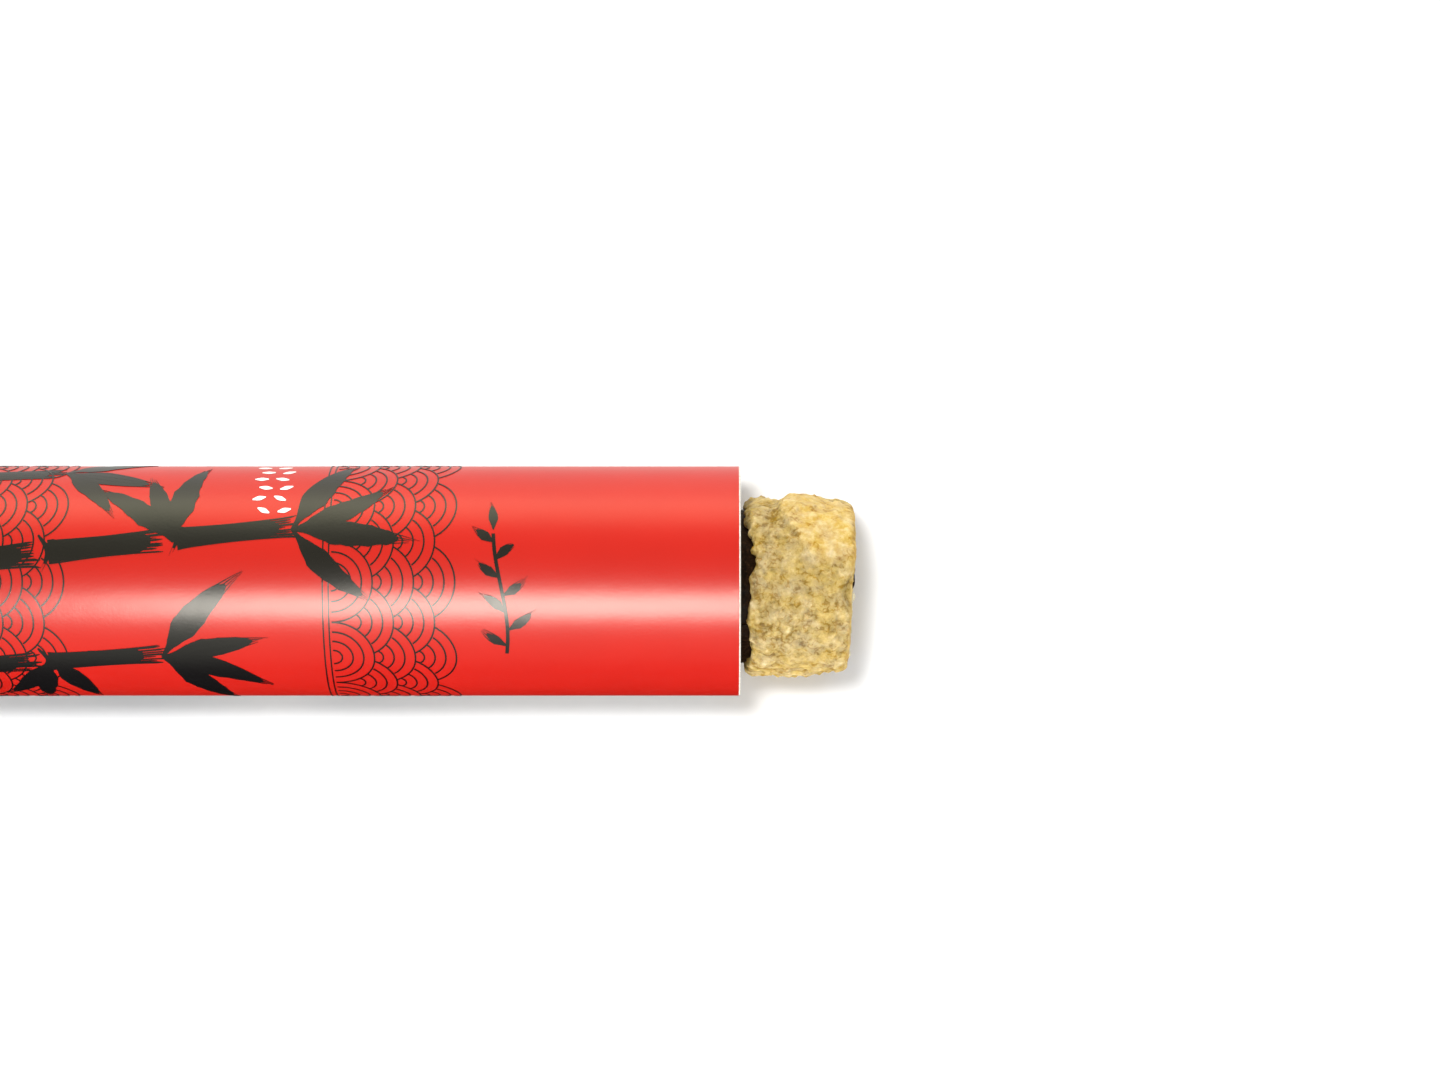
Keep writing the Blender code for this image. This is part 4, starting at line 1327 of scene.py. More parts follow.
class SUSHIPOP_OT_batter(bpy.types.Operator):
    """Fry the batter round the slice: a lumpy shell with crumbs fused on and fine pits"""

    bl_idname = "sushi_pop.batter"
    bl_label = "Batter"

    def execute(self, context):
        settings = context.scene.sushi_pop_batter
        mesh, cover = crust_shell(steps=240, rows=60)
        shell = new_object("batter_shell", mesh)
        set_attribute(mesh, "cover", cover)
        crumbs = lumpy_shapes("crumb_shapes", count=6, stretch=1.25, rough=0.55, rings=8, seed=3.3)
        strewn = new_object("batter_crumbs", mesh.copy())
        run_tree(strewn, crags_tree(), {
            "Crumbs": crumbs, "Per Square Metre": settings.crumbs * 10000,
            "Smallest": settings.crumb_least, "Largest": settings.crumb_most,
            "Sunk Share": -0.5, "Seed": 4,
        })
        crust = joined("batter_coat", [shell, strewn])
        remove_shapes(crumbs)
        mesh = remeshed(crust, settings.detail)

        # Fine crags and pits, weaker on the smooth golden lumps and on the cut
        places = coordinates(mesh)
        soft = neighbour_average(mesh, places, 2)
        normals = vertex_normals(mesh)
        golden = golden_share(soft)
        angle, radius = polar(soft)
        to_cut = sampled(crust_front_x)(angle) - soft[:, 0]
        outward = smoothstep(0.2 * MM, 1.2 * MM, radius - sampled(crust_inner_radius)(angle))
        crumb = smoothstep(1.3 * MM, 0.1 * MM, to_cut) * smoothstep(0.35, 0.75, normals[:, 0])
        fine = 0.26 * noise_at(soft, 2.6 * MM, 4.2) + 0.13 * noise_at(soft, 1.2 * MM, 9.1)
        fine += 0.06 * noise_at(soft, 0.6 * MM, 1.4)
        patchy = smoothstep(-0.1, 0.35, noise_at(soft, 5 * MM, 7))
        cells = cells_at(soft, 1.9 * MM, 2.6)[:, 0]
        pits = -0.3 * smoothstep(0.3, 0.1, cells) * np.maximum(0.7 * patchy, crumb)
        creases = np.abs(noise_at(soft, 2.2 * MM, 12.5))
        pits -= 0.2 * smoothstep(0.3, 0.0, creases) * patchy * (1 - crumb)
        strength = outward * (1 - 0.4 * golden * (1 - crumb))
        height = (fine + pits) * strength * MM
        places = soft + normals * height[:, None]
        for turn, reach, size, depth in CUT_HOLES:
            hole = np.array(point_at(0, turn, reach * MM))[1:]
            off = np.hypot(*(soft[:, 1:] - hole).T) + 0.3 * MM * noise_at(soft, 1.1 * MM, 8)
            places[:, 0] -= crumb * depth * MM * smoothstep(size * MM / 2, size * MM / 4, off)
        places[:, 2] = np.maximum(places[:, 2], SLICE_LOWEST)
        set_coordinates(mesh, slanted(places))
        # In the batter's colour the relief gives painted shade in the pits and painted highlight on the
        # crags
        relief = 0.6 * relief_of(mesh, 7, 0.26 * MM) + 0.4 * relief_of(mesh, 60, 0.8 * MM)
        set_attribute(mesh, "relief", relief)
        set_attribute(mesh, "golden", golden)
        set_attribute(mesh, "crumb", crumb)
        rind = smoothstep(1.9 * MM, 0.5 * MM, sampled(crust_radius)(angle) - radius)
        set_attribute(mesh, "rind", rind)
        mesh.materials.clear()
        mesh.materials.append(fried_batter_material())
        crust.name = "batter_coat"
        finish_piece(crust, "fried_batter", "batter_crust")
        return {"FINISHED"}


class SUSHIPOP_OT_row(bpy.types.Operator):
    """Fill the tube with the rest of the roll, cut into slices"""

    bl_idname = "sushi_pop.row"
    bl_label = "Roll in the Tube"

    def execute(self, context):
        start, end = ROW_LOW.x, ROW_HIGH.x
        slice_length, gap_to_wall = 29 * MM, 0.4 * MM
        stations, end_rings = 216, 40
        pitch = (end - start) / round((end - start) / slice_length)
        wall = TUBE_RADIUS - BASE_WALL - gap_to_wall
        outline = [(angle, crust_radius(angle)) for angle in even_angles(144)]
        rings = []
        for station in range(stations + 1):
            x = start + (end - start) * station / stations
            off = abs((x - start) / pitch - round((x - start) / pitch)) * pitch
            groove = 1.5 * MM * bump(off, 0, 1.1 * MM)
            ring = []
            for angle, plain in outline:
                radius = plain + lumps(CRUST_LUMPS, x, angle, plain) - groove
                turn = math.radians(angle)
                across, up = radius * math.cos(turn), radius * math.sin(turn) - 0.5 * MM
                squeeze = min(1.0, (wall - 0.5 * groove) / math.hypot(across, up))
                ring.append((x, across * squeeze, AXIS_HEIGHT + up * squeeze))
            rings.append(ring)
        middle = np.array([end, 0, AXIS_HEIGHT])
        for step in range(1, end_rings):
            share = 1 - step / end_rings
            shrunk = [middle + (np.array(point) - middle) * share for point in rings[stations]]
            dents = noise_at(np.array(shrunk), 2.4 * MM, 6) * 0.5 * MM
            rings.append([tuple(p - np.array([abs(d), 0, 0])) for p, d in zip(shrunk, dents)])
        mesh = loft("batter_row", rings)
        obj = new_object("batter_row", mesh, fried_batter_material())
        # The relief gives painted shade in the grooves and pits of the row, and painted highlight on its
        # crags
        set_attribute(mesh, "relief", 0.15 + 0.7 * relief_of(mesh, 12, 0.5 * MM))
        finish_piece(obj, "fried_batter", "roll_in_tube")
        return {"FINISHED"}


def torn_sheet(name, outer, inner, kept):
    """A closed thin sheet between two grids of points, without the cells that are torn away."""
    width = outer.shape[1]
    below = outer.shape[0] * width
    faces, border = [], set()
    for a in range(outer.shape[0] - 1):
        for i in range(width - 1):
            if not kept[a, i]:
                continue
            quad = [a * width + i, a * width + i + 1, (a + 1) * width + i + 1, (a + 1) * width + i]
            faces += [quad, [corner + below for corner in reversed(quad)]]
            for edge in zip(quad, quad[1:] + quad[:1]):
                if edge[::-1] in border:
                    border.remove(edge[::-1])
                else:
                    border.add(edge)
    faces += [(b, a, a + below, b + below) for a, b in sorted(border)]
    mesh = mesh_from(name, np.vstack([outer.reshape(-1, 3), inner.reshape(-1, 3)]).tolist(), faces)
    work = bmesh.new()
    work.from_mesh(mesh)
    bmesh.ops.delete(work, geom=[v for v in work.verts if not v.link_faces], context="VERTS")
    work.to_mesh(mesh)
    work.free()
    return mesh


def seaweed_sheet(name, span, radius_at, thick_at, columns, rows, seed, torn_at=None):
    """A sheet of seaweed along the roll, crinkled, with ragged ends."""
    angles = np.linspace(*span, columns)
    stations = np.linspace(NECK_X, CUT_X - 0.25 * MM, rows)
    radii = np.array([radius_at(angle) for angle in angles])
    depths = np.array([thick_at(angle) for angle in angles])
    outer, inner = np.empty((rows, columns, 3)), np.empty((rows, columns, 3))
    kept = np.ones((rows - 1, columns - 1), dtype=bool)
    for row, x in enumerate(stations):
        near_cut = smoothstep(5 * MM, 0, CUT_X - x)
        recess = 0.6 * MM * near_cut
        for column, (angle, radius, depth) in enumerate(zip(angles, radii, depths)):
            spot = Vector(point_at(x, angle, radius)) / MM
            wave = 0.14 * noise.noise(spot / 2.6 + Vector((seed, 0, 0))) * MM
            wave += 0.1 * noise.noise(spot / 1.1) * MM
            frayed = 0.4 * MM * noise.noise(spot / 1.6 + Vector((0, seed, 0))) * near_cut
            thick = depth * (1 + 0.5 * noise.noise(spot / 1.3)) + 0.1 * MM
            fold = 0.3 * MM * noise.noise(Vector((x / MM / 6, math.radians(angle) * 5, seed)))
            wave += fold * smoothstep(8 * MM, 3 * MM, x - MOUTH_X)
            x_end = x + frayed - recess * smoothstep(0.6 * MM, 1.1 * MM, thick)
            outer[row, column] = point_at(x_end, angle, radius + wave + 0.24 * MM)
            inner[row, column] = point_at(x_end, angle, radius + wave + 0.24 * MM - thick)
    outer = slanted(outer.reshape(-1, 3)).reshape(outer.shape)
    inner = slanted(inner.reshape(-1, 3)).reshape(inner.shape)
    if torn_at:
        for row in range(rows - 1):
            for column in range(columns - 1):
                kept[row, column] = not torn_at(stations[row + 1], angles[column])
    return torn_sheet(name, outer, inner, kept)


def wrap_thickness(angle):
    """Thin all round, but crumpled thick where the sheet ends on top and where it starts."""
    thin = bpy.context.scene.sushi_pop_roll.seaweed_thickness
    return thin * (1 + 6.5 * smoothstep(442, 471, angle) + 8.5 * smoothstep(252, 233, angle))


def flap_torn(x, angle):
    """On top the flap reaches the wrap at the neck only, and is torn away towards the cut."""
    torn_share = min((x - CUT_X + 13 * MM) / (7.5 * MM), 1)
    spot = Vector((x / MM / 1.7, math.radians(angle) * 10, 3.0))
    ragged = 5 * noise.noise(spot)
    return angle < WRAP_END - 4 + (FLAP_START - WRAP_END + 3) * torn_share + ragged


class SUSHIPOP_OT_seaweed(bpy.types.Operator):
    """Wrap the rice in one crinkled sheet of roasted seaweed, whose end laps its start"""

    bl_idname = "sushi_pop.seaweed"
    bl_label = "Seaweed"

    def execute(self, context):
        material = seaweed_material()
        thin = context.scene.sushi_pop_roll.seaweed_thickness
        mesh = seaweed_sheet(
            "seaweed_wrap", (WRAP_START, WRAP_END + 360), wrap_radius, wrap_thickness,
            columns=210, rows=60, seed=5,
        )
        finish_piece(new_object("seaweed_wrap", mesh, material), "toasted_seaweed", "nori_wrap")
        mesh = seaweed_sheet(
            "seaweed_flap", (WRAP_END + 0.8, FLAP_END), outer_nori_radius, lambda angle: 1.3 * thin,
            columns=180, rows=70, seed=9, torn_at=flap_torn,
        )
        finish_piece(new_object("seaweed_flap", mesh, material), "toasted_seaweed", "nori_flap")
        return {"FINISHED"}


def rice_edge(angle):
    """Outside of the rice, drawn in where the seaweed is crumpled thick."""
    crumpled = wrap_thickness(angle % 360 + 360) if angle % 360 < WRAP_END + 4 else 0
    return rice_radius(angle) + 0.18 * MM - max(crumpled - 0.5 * MM, 0)


def on_seaweed_tail(angle, radius):
    """Whether a place of the cut is on the start of the sheet, curled inside the rice."""
    inwards = wrap_radius(angle) - radius
    inside = -0.9 * MM < inwards < wrap_thickness(angle) + 0.7 * MM
    return WRAP_START - 6 < angle < FLAP_END and inside


def grain_places(rng, spacing, tries, depths):
    """Seeded places of grains at the cut: where, which way they point and how large they are."""
    filling = sampled(lambda angle: along(FILLING_OUTLINE, angle, 360))
    reach = 21 * MM
    spots, tried = [], []
    # The first lie along the seaweed, so that it has no bare ring inside it
    for angle in np.arange(0, 360, 9):
        at_edge = math.radians(angle + rng.uniform(-2, 2))
        radius = rice_edge(math.degrees(at_edge)) - rng.uniform(1.0, 1.25) * MM
        tried.append((radius * math.cos(at_edge), radius * math.sin(at_edge)))
    tried += [(rng.uniform(-reach, reach), rng.uniform(-reach, reach)) for _ in range(tries)]
    for y, z in tried:
        heading = Vector([rng.gauss(0, 1) * weight for weight in (0.55, 1, 1)]).normalized()
        angle, radius = math.degrees(math.atan2(z, y)) % 360, math.hypot(y, z)
        if radius > rice_edge(angle) - 1.0 * MM or on_seaweed_tail(angle, radius):
            continue
        inner = Vector((y - FILLING_MIDDLE[0], z - FILLING_MIDDLE[1]))
        over_filling = rng.uniform(-0.2, 0.6) * MM
        if inner.length < filling(math.degrees(math.atan2(inner.y, inner.x)) % 360) - over_filling:
            continue
        if radius > rice_edge(angle) - 2.6 * MM:
            turn = math.radians(angle)
            outwards = Vector((0, math.cos(turn), math.sin(turn)))
            heading = heading - outwards * (0.85 * heading.dot(outwards))
            heading.normalize()
        if all((y - other[1]) ** 2 + (z - other[2]) ** 2 > spacing**2 for other in spots):
            spots.append((rng.uniform(*depths), y, z, heading, rng.uniform(0.82, 1.08)))
    return spots


def points_to_copy_on(name, places, turns, sizes):
    """Points for the copies tree, from places whose Y and Z are about the slice's middle."""
    points = mesh_from(name, [(x, SLICE_MIDDLE.y + y, SLICE_MIDDLE.z + z) for x, y, z in places], [])
    for label, values in (("turn", turns), ("size", sizes)):
        attribute = points.attributes.new(label, "FLOAT_VECTOR", "POINT")
        attribute.data.foreach_set("vector", np.array(values, dtype=np.float32).ravel())
    return points


class SUSHIPOP_OT_rice(bpy.types.Operator):
    """Pack the rice: a plain core, and at the cut two layers of real grains that stick together"""

    bl_idname = "sushi_pop.rice"
    bl_label = "Rice"

    def execute(self, context):
        settings = context.scene.sushi_pop_roll
        rng = random.Random(11)
        spots = grain_places(rng, spacing=1.5 * MM, tries=9000, depths=(-2.3 * MM, -1.8 * MM))
        spots += grain_places(rng, spacing=1.7 * MM, tries=12000, depths=(-1.5 * MM, -0.9 * MM))
        places = [(CUT_X + x, y, z) for x, y, z, _, _ in spots]
        turns = [heading.to_track_quat("X", "Z").to_euler() for _, _, _, heading, _ in spots]
        length, width = settings.grain_length / 2, settings.grain_width / 2
        sizes = [(length * s, width * s, width * s * 0.92) for *_, s in spots]
        points = points_to_copy_on("rice_points", places, turns, sizes)
        tints = [rng.uniform(-0.13, 0.13) for _ in spots]
        middles = kdtree.KDTree(len(spots))
        for index, vertex in enumerate(points.vertices):
            middles.insert(vertex.co, index)
        middles.balance()
        grains = new_object("rice_grains", points)
        shapes = lumpy_shapes("grain_shapes", count=5, stretch=1, rough=0.2, rings=12, seed=1.7)
        mesh = run_tree(grains, copies_tree(), {"Shapes": shapes})
        remove_shapes(shapes)

        # The knife pressed the grains nearly flat, and they stay inside the seaweed
        places = coordinates(mesh)
        limit = CUT_X - 0.5 * MM
        over = places[:, 0] > limit
        places[over, 0] = limit + (places[over, 0] - limit) * 0.3
        angle, radius = polar(places)
        edge = sampled(lambda a: rice_edge(a) + 0.1 * MM)(angle)
        share = np.minimum(1, edge / radius)
        places[:, 1] = SLICE_MIDDLE.y + (places[:, 1] - SLICE_MIDDLE.y) * share
        places[:, 2] = SLICE_MIDDLE.z + (places[:, 2] - SLICE_MIDDLE.z) * share
        places += vertex_normals(mesh) * (noise_at(places, 0.8 * MM, 3) * 0.09 * MM)[:, None]
        set_coordinates(mesh, places)

        # Cooked rice sticks: the grains fuse with a slab of packed rice between and behind them
        front = joined("rice_front", [grains, self.core(SLAB_BACK_X, CUT_X - 1.55 * MM)])
        remeshed(front, 0.19 * MM)
        rice = joined("rice_roll", [front, self.core(RICE_LOW.x, CORE_FRONT_X)])
        mesh = rice.data
        places = coordinates(mesh)
        _, off = polar(places, FILLING_MIDDLE)
        # Grains behind the front layer and in creases get painted shade through the relief
        depth = smoothstep(CUT_X - 1.6 * MM, CUT_X - 0.6 * MM, places[:, 0])
        creased = np.clip(relief_of(mesh, 12, 0.3 * MM) - 0.5, -0.5, 0.5)
        set_attribute(mesh, "relief", 0.26 + 0.24 * depth + 0.3 * creased)
        set_attribute(mesh, "tint", [tints[middles.find(place)[1]] for place in places])
        set_attribute(mesh, "stain", 1.1 * smoothstep(4.4 * MM, 0.4 * MM, off - 10.6 * MM))
        set_coordinates(mesh, slanted(places))
        mesh.materials.clear()
        mesh.materials.append(rice_material())
        finish_piece(rice, "cooked_rice", "sushi_rice")
        return {"FINISHED"}

    def core(self, start, end):
        """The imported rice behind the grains, round the filling."""
        angles = even_angles(180)

        def filling_edge(angle):
            across, up = math.cos(math.radians(angle)), math.sin(math.radians(angle))
            radius = 10 * MM
            for _ in range(12):
                y, z = radius * across - FILLING_MIDDLE[0], radius * up - FILLING_MIDDLE[1]
                turn = math.degrees(math.atan2(z, y))
                radius += along(FILLING_OUTLINE, turn, 360) - math.hypot(y, z)
            return radius + 0.1 * MM

        rings = []
        for x, radius_at in (
            (start, filling_edge), (start, rice_edge), (end, rice_edge), (end, filling_edge)
        ):
            rings.append([point_at(x, angle, radius_at(angle)) for angle in angles])
        return new_object("rice_core", loft("rice_core", rings, joined=True))


def blob(y, z, middle, widths):
    """A soft spot on the cut: 1 at its middle, fading over its widths, with lengths in mm."""
    return np.exp(-(((y - middle[0]) / widths[0]) ** 2) - ((z - middle[1]) / widths[1]) ** 2)


def crowned_rings(outline, middle, stations, angles, ragged=0):
    """Rings of one outline at stations of (x, grow in metres, share of the outline)."""
    rings = []
    for x, grow, share in stations:
        ring = []
        for angle in angles:
            radius = (along(outline, angle, 360) + grow) * share
            turn = math.radians(angle)
            spot = Vector((x / MM / 5, math.cos(turn), math.sin(turn)))
            radius += ragged * (noise.noise(spot * 1.3) + 0.5 * noise.noise(spot * 4.5))
            ring.append(point_at(x, angle, radius, middle))
        rings.append(ring)
    return rings


class SUSHIPOP_OT_filling(bpy.types.Operator):
    """Fill the rice with a shrimp in soaked yellow batter, cut across"""

    bl_idname = "sushi_pop.filling"
    bl_label = "Shrimp and Batter"

    def execute(self, context):
        self.build_batter()
        self.build_shrimp()
        return {"FINISHED"}

    def build_batter(self):
        angles = even_angles(120)
        back, front = RICE_LOW.x, CUT_X - 0.55 * MM
        outer = crowned_rings(FILLING_OUTLINE, FILLING_MIDDLE, (
            (SLAB_BACK_X, 0.1 * MM, 1), (front - 0.5 * MM, 0.5 * MM, 1), (front, -0.2 * MM, 1),
        ), angles, ragged=0.8 * MM)
        hole = crowned_rings(SHRIMP_OUTLINE, SHRIMP_MIDDLE, (
            (front, -0.45 * MM, 1), (SLAB_BACK_X, -0.2 * MM, 1),
        ), angles, ragged=1.1 * MM)
        slab = new_object("filling_slab", loft("filling_slab", outer + hole, joined=True))
        crumbs = lumpy_shapes("filling_crumbs", count=5, stretch=1.3, rough=0.4, rings=8, seed=7.1)
        rng = random.Random(23)
        spots = []
        filling = sampled(lambda angle: along(FILLING_OUTLINE, angle, 360))
        shrimp = sampled(lambda angle: along(SHRIMP_OUTLINE, angle, 360))
        for _ in range(900):
            y, z = rng.uniform(-13, 13) * MM, rng.uniform(-13, 13) * MM
            in_filling = y - FILLING_MIDDLE[0], z - FILLING_MIDDLE[1]
            in_shrimp = y - SHRIMP_MIDDLE[0], z - SHRIMP_MIDDLE[1]
            off = math.hypot(*in_filling) - filling(math.degrees(math.atan2(*in_filling[::-1])) % 360)
            on = math.hypot(*in_shrimp) - shrimp(math.degrees(math.atan2(*in_shrimp[::-1])) % 360)
            if off < 0.1 * MM and on > -0.1 * MM:
                spots.append((front + rng.uniform(-0.5, 0.1) * MM, y, z))
        turns = [[rng.uniform(0, FULL_TURN) for _ in range(3)] for _ in spots]
        sizes = [[rng.uniform(0.35, 0.95) * MM] * 3 for _ in spots]
        points = points_to_copy_on("filling_points", spots, turns, sizes)
        strewn = new_object("filling_strewn", points)
        run_tree(strewn, copies_tree(), {"Shapes": crumbs})
        remove_shapes(crumbs)
        coat = joined("filling_batter", [slab, strewn])
        mesh = remeshed(coat, 0.24 * MM)
        places = neighbour_average(mesh, coordinates(mesh), 2)
        # What stands out of the cut is pressed nearly flat
        limit = front + 0.1 * MM
        over = places[:, 0] > limit
        places[over, 0] = limit + (places[over, 0] - limit) * 0.35
        places[:, 0] += (noise_at(places, 1.1 * MM, 5) * 0.16 + noise_at(places, 2.6 * MM, 1) * 0.2) * MM
        turned, radius = polar(places, SHRIMP_MIDDLE)
        past_shrimp = radius - shrimp(turned)
        at_front = smoothstep(front - 1.2 * MM, front - 0.4 * MM, places[:, 0])
        places[:, 0] -= at_front * 0.5 * MM * smoothstep(1.0 * MM, -0.5 * MM, past_shrimp)
        set_coordinates(mesh, places)
        ends = (back, 0, 1), (CORE_FRONT_X, 0, 1)
        core = crowned_rings(FILLING_OUTLINE, FILLING_MIDDLE, ends, angles)
        core += crowned_rings(SHRIMP_OUTLINE, SHRIMP_MIDDLE, ends[::-1], angles)
        core = new_object("filling_core", loft("filling_core", core, joined=True))
        coat = joined("filling_batter", [coat, core])
        mesh = coat.data
        places = coordinates(mesh)
        y, z = (places[:, 1] - SLICE_MIDDLE.y) / MM, (places[:, 2] - SLICE_MIDDLE.z) / MM
        upper = blob(y, z, (4, 7.5), (3.6, 2.6))
        left = 0.8 * blob(y, z, (-8.4, -2.5), (1.9, 5.5))
        under = 0.75 * blob(y, z, (-4.5, -8.2), (3.2, 1.5))
        rim = 0.3 * blob(y, z, (3.5, 3), (2.2, 3.5))
        set_attribute(mesh, "orange", 0.18 + upper + left + under + rim)
        set_coordinates(mesh, slanted(places))
        mesh.materials.append(filling_batter_material())
        finish_piece(coat, "soaked_yellow_batter", "shrimp_batter")

    def build_shrimp(self):
        angles = even_angles(160)
        back, front = RICE_LOW.x, CUT_X - 0.45 * MM
        stations = [(back, 0, 1), (front - 4 * MM, 0, 1), (front - 1.1 * MM, 0.15 * MM, 1)]
        stations += [(front - 0.5 * MM, 0.1 * MM, 0.985)]
        stations += [(front - 0.5 * MM * share**3, 0, share) for share in np.linspace(0.96, 0.04, 44)]
        rings = crowned_rings(SHRIMP_OUTLINE, SHRIMP_MIDDLE, stations, angles)
        mesh = loft("shrimp_meat", rings)
        places = coordinates(mesh)
        face = smoothstep(front - 1.2 * MM, front - 0.4 * MM, places[:, 0])
        stretched = places * np.array([1, 1, 0.4])
        ridges = noise_at(stretched, 0.8 * MM, 4) * 0.13 + noise_at(places, 2.4 * MM, 8) * 0.28
        places[:, 0] += face * ridges * MM
        y, z = (places[:, 1] - SLICE_MIDDLE.y) / MM, (places[:, 2] - SLICE_MIDDLE.z) / MM
        split = blob(y + 0.25 * (z + 1), z, (2.2, -1.6), (0.5, 2.2))
        places[:, 0] -= face * 0.6 * split * MM
        set_coordinates(mesh, places)
        angle, radius = polar(places, SHRIMP_MIDDLE)
        depth = sampled(lambda a: along(SHRIMP_OUTLINE, a, 360))(angle) - radius
        blotches = noise_at(places, 3 * MM, 2)
        skin = 0.3 * smoothstep(0.9 * MM, 0, depth) * (0.6 + 0.9 * blotches)
        soaked = smoothstep(1.9 * MM, 0.5 * MM, depth + 0.7 * MM * noise_at(places, 1.3 * MM, 17))
        set_attribute(mesh, "soak", 0.8 * soaked)
        wander = noise_at(places, 1.6 * MM, 6)
        streak = np.exp(-((z + 5.4 + 0.06 * y + 0.35 * wander) / 0.65) ** 2) * smoothstep(-3.4, -1, y)
        dab = blob(y, z + 0.5 * (y - 0.9) + 0.4 * wander, (0.9, 3.5), (1.9, 0.9))
        stain = 0.5 * blob(y + 0.5 * wander, z, (-7.0, -2.5), (0.9, 3.4))
        set_attribute(mesh, "skin", skin + 0.95 * streak + 1.0 * dab + stain + 0.12 * split)
        set_coordinates(mesh, slanted(places))
        obj = new_object("shrimp_meat", mesh, shrimp_material())
        finish_piece(obj, "cooked_shrimp", "shrimp")


# The stage

# How bright the tent is all round, as a share of its brightest card. Its light is a little cool
EVEN_TENT = (0.221, 0.226, 0.236, 1)


def build_world(strength):
    """A white light tent. Only reflections show its cards, dark overhead and on the near side."""
    world = bpy.data.worlds.new("light tent")
    bpy.context.scene.world = world
    world.use_nodes = True
    add = partial(add_node, world.node_tree)
    heading = add("ShaderNodeTexCoord", output="Generated")
    x, y, z = add("ShaderNodeSeparateXYZ", (heading,)).node.outputs
    up = add("ShaderNodeMath", (z, 0.5, 0.5), operation="MULTIPLY_ADD")
    far = add(
        "ShaderNodeValToRGB", (up,),
        stops=[
            (0.15, (0.3, 0.3, 0.28)), (0.36, (0.46, 0.44, 0.36)), (0.48, (0.65, 0.62, 0.48)),
            (0.52, (1.2, 1.16, 0.84)), (0.67, (0.9, 0.88, 0.6)), (0.8, (0.2, 0.2, 0.14)),
            (0.93, (0.12, 0.11, 0.06)),
        ],
    )
    near = add(
        "ShaderNodeValToRGB", (up,),
        stops=[
            (0.47, 0.0), (0.52, (0.1, 0.1, 0.085)), (0.8, (0.3, 0.3, 0.24)),
            (0.95, (0.14, 0.14, 0.12)),
        ],
    )
    side = add("ShaderNodeMapRange", {0: y, 1: -0.3, 2: 0.3})
    cards = add("ShaderNodeMix", {0: side, 6: near, 7: far}, data_type="RGBA")
    # Along the tube there are no cards, or its ends would reflect them at a grazing angle
    endways = add("ShaderNodeMath", (x,), operation="ABSOLUTE")
    endways = add("ShaderNodeMapRange", (endways, 0.35, 0.75, 0.0, 0.9))
    cards = add("ShaderNodeMix", {0: endways, 6: cards, 7: as_colour(0.12)}, data_type="RGBA")
    mirrored = add("ShaderNodeLightPath", output="Is Glossy Ray")
    glow = add("ShaderNodeMix", {0: mirrored, 6: EVEN_TENT, 7: cards}, data_type="RGBA")
    set_inputs(world.node_tree.nodes["Background"], {"Color": glow, "Strength": strength})
    # Found by each ray as it leaves, so that the reflections get the cards and nothing else
    world.cycles.sampling_method = "NONE"


def add_light(name, power, size, place, target, seen_in_gloss=False):
    """A softbox that is seen either as a reflection, or only by the light that it gives."""
    light = bpy.data.lights.new(name, "AREA")
    light.energy = power
    light.shape = "RECTANGLE"
    light.size, light.size_y = size
    # Multiple importance would let a little of a hidden softbox back into the reflections
    light.cycles.use_multiple_importance_sampling = False
    obj = bpy.data.objects.new(name, light)
    bpy.context.scene.collection.objects.link(obj)
    obj.location = place
    obj.rotation_euler = (Vector(target) - Vector(place)).to_track_quat("-Z", "Y").to_euler()
    obj.visible_camera = False
    obj.visible_glossy = seen_in_gloss
    obj.visible_diffuse = not seen_in_gloss
    return obj


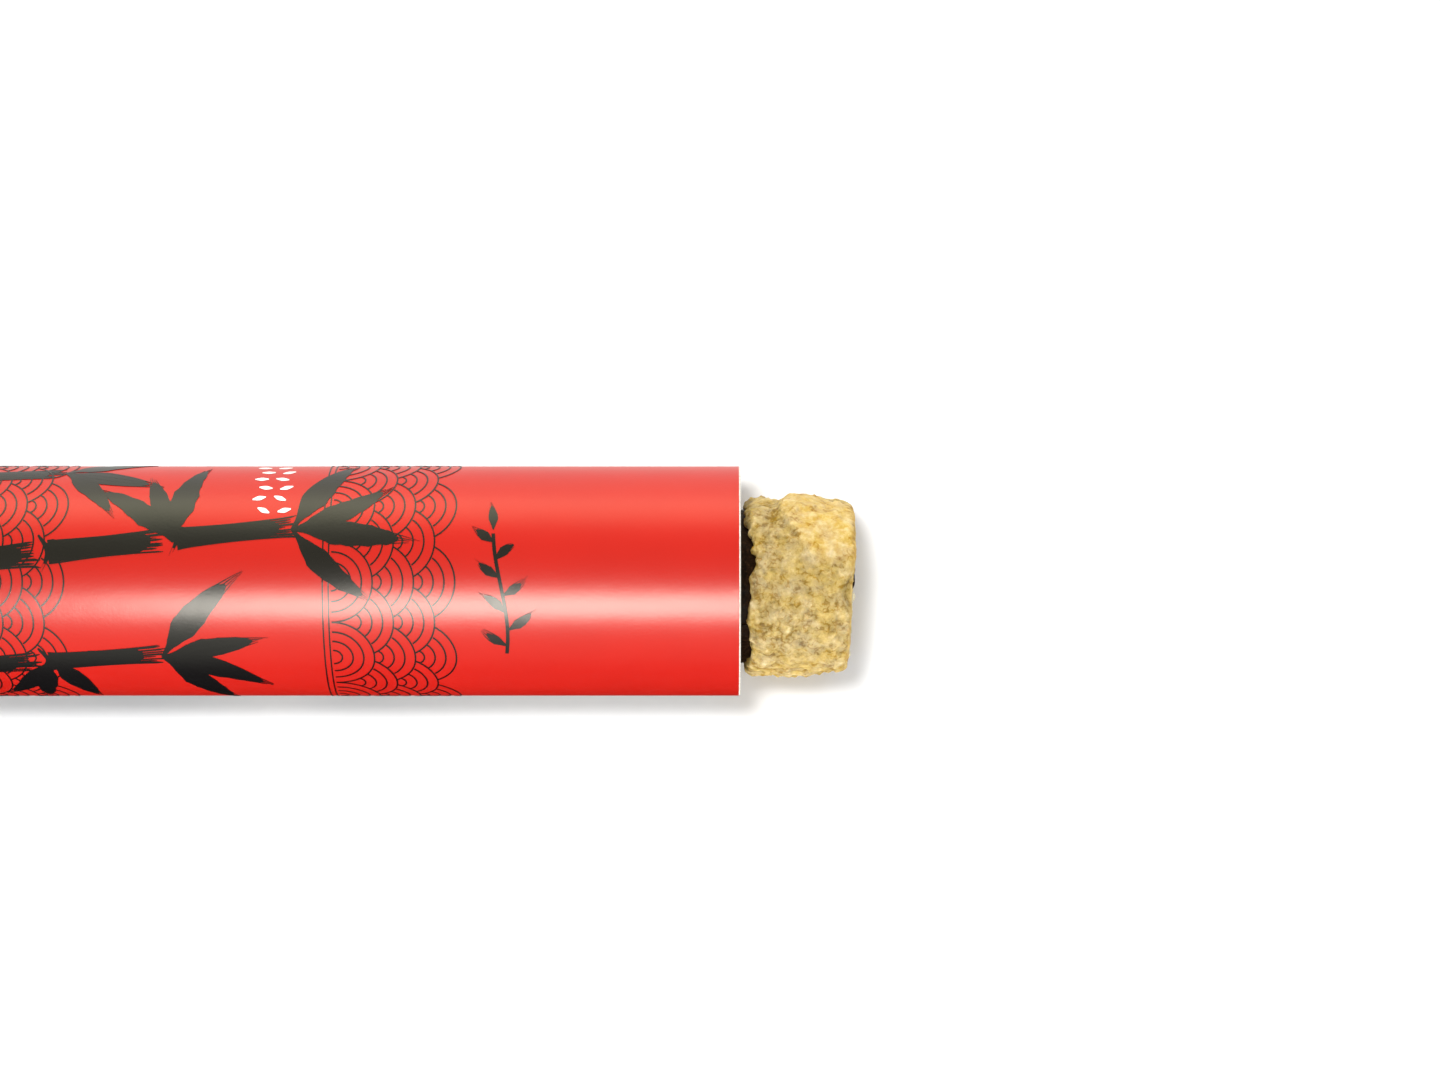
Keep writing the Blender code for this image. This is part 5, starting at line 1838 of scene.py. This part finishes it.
class SUSHIPOP_OT_stage(bpy.types.Operator):
    """Lay white background paper, set soft studio light and aim the camera down at the mouth"""

    bl_idname = "sushi_pop.stage"
    bl_label = "Stage"

    def execute(self, context):
        settings = context.scene.sushi_pop_stage
        scene = context.scene
        scene.view_settings.view_transform = "Standard"
        half = 8
        corners = [(-half, -half, 0), (half, -half, 0), (half, half, 0), (-half, half, 0)]
        floor = new_object(
            "background_paper", mesh_from("background_paper", corners, [(0, 1, 2, 3)]),
            floor_material(),
        )
        floor.visible_glossy = False

        build_world(settings.tent)
        target = Vector((0.1154, 0.00925, AXIS_HEIGHT))
        add_light("key_softbox", settings.key, (0.15, 0.15), (0.0, 0.163, 1.0), target)
        strip = add_light(
            "strip_light", settings.strip, (0.66, 0.31), (0.155, -0.336, 0.785), (0.155, 0, 0.03),
            seen_in_gloss=True,
        )
        strip.data.color = (1, 0.95, 0.84)
        # The fills brighten the sides of the pieces, and leave their shadow on the floor
        fills = [
            add_light(f"fill_softbox_{side}", power, (0.7, 0.3), (0.1, y, 0.2), target)
            for side, y, power in (("near", -0.9, settings.fill), ("far", 0.9, settings.far_fill))
        ]
        lit = bpy.data.collections.new("lit_by_fill")
        for obj in scene.objects:
            if obj.type == "MESH" and obj != floor:
                lit.objects.link(obj)
        for fill in fills:
            fill.light_linking.receiver_collection = lit
        lens = bpy.data.cameras.new("camera")
        lens.sensor_width = 36
        lens.sensor_fit = "HORIZONTAL"
        lens.lens = lens.sensor_width * settings.distance / settings.frame_width
        lens.clip_start, lens.clip_end = 0.01, 20
        camera = bpy.data.objects.new("camera", lens)
        scene.collection.objects.link(camera)
        camera.location = target + Vector((0, 0, settings.distance))
        scene.camera = camera
        return {"FINISHED"}


class SUSHIPOP_PT_panel(bpy.types.Panel):
    """Sizes and colours of the sushi pop, and the steps that build it"""

    bl_idname = "SUSHIPOP_PT_panel"
    bl_label = "Sushi Pop"
    bl_space_type = "VIEW_3D"
    bl_region_type = "UI"
    bl_category = "Sushi Pop"

    def draw(self, context):
        for name, group in SETTINGS.items():
            box = self.layout.box()
            for prop in group.__annotations__:
                box.prop(getattr(context.scene, name), prop)
        for operator in OPERATORS:
            self.layout.operator(operator.bl_idname)


SETTINGS = {
    "sushi_pop_tube": SushiPopTubeSettings,
    "sushi_pop_batter": SushiPopBatterSettings,
    "sushi_pop_roll": SushiPopRollSettings,
    "sushi_pop_stage": SushiPopStageSettings,
}
OPERATORS = (
    SUSHIPOP_OT_tube, SUSHIPOP_OT_print, SUSHIPOP_OT_row, SUSHIPOP_OT_batter,
    SUSHIPOP_OT_seaweed, SUSHIPOP_OT_rice, SUSHIPOP_OT_filling, SUSHIPOP_OT_stage,
)
CLASSES = (*SETTINGS.values(), *OPERATORS, SUSHIPOP_PT_panel)


def register():
    for cls in CLASSES:
        bpy.utils.register_class(cls)
    for name, group in SETTINGS.items():
        setattr(bpy.types.Scene, name, PointerProperty(type=group))


def unregister():
    for name in SETTINGS:
        delattr(bpy.types.Scene, name)
    for cls in reversed(CLASSES):
        bpy.utils.unregister_class(cls)


def main():
    register()
    for operator in OPERATORS:
        group, name = operator.bl_idname.split(".")
        getattr(getattr(bpy.ops, group), name)()


if __name__ == "__main__":
    main()
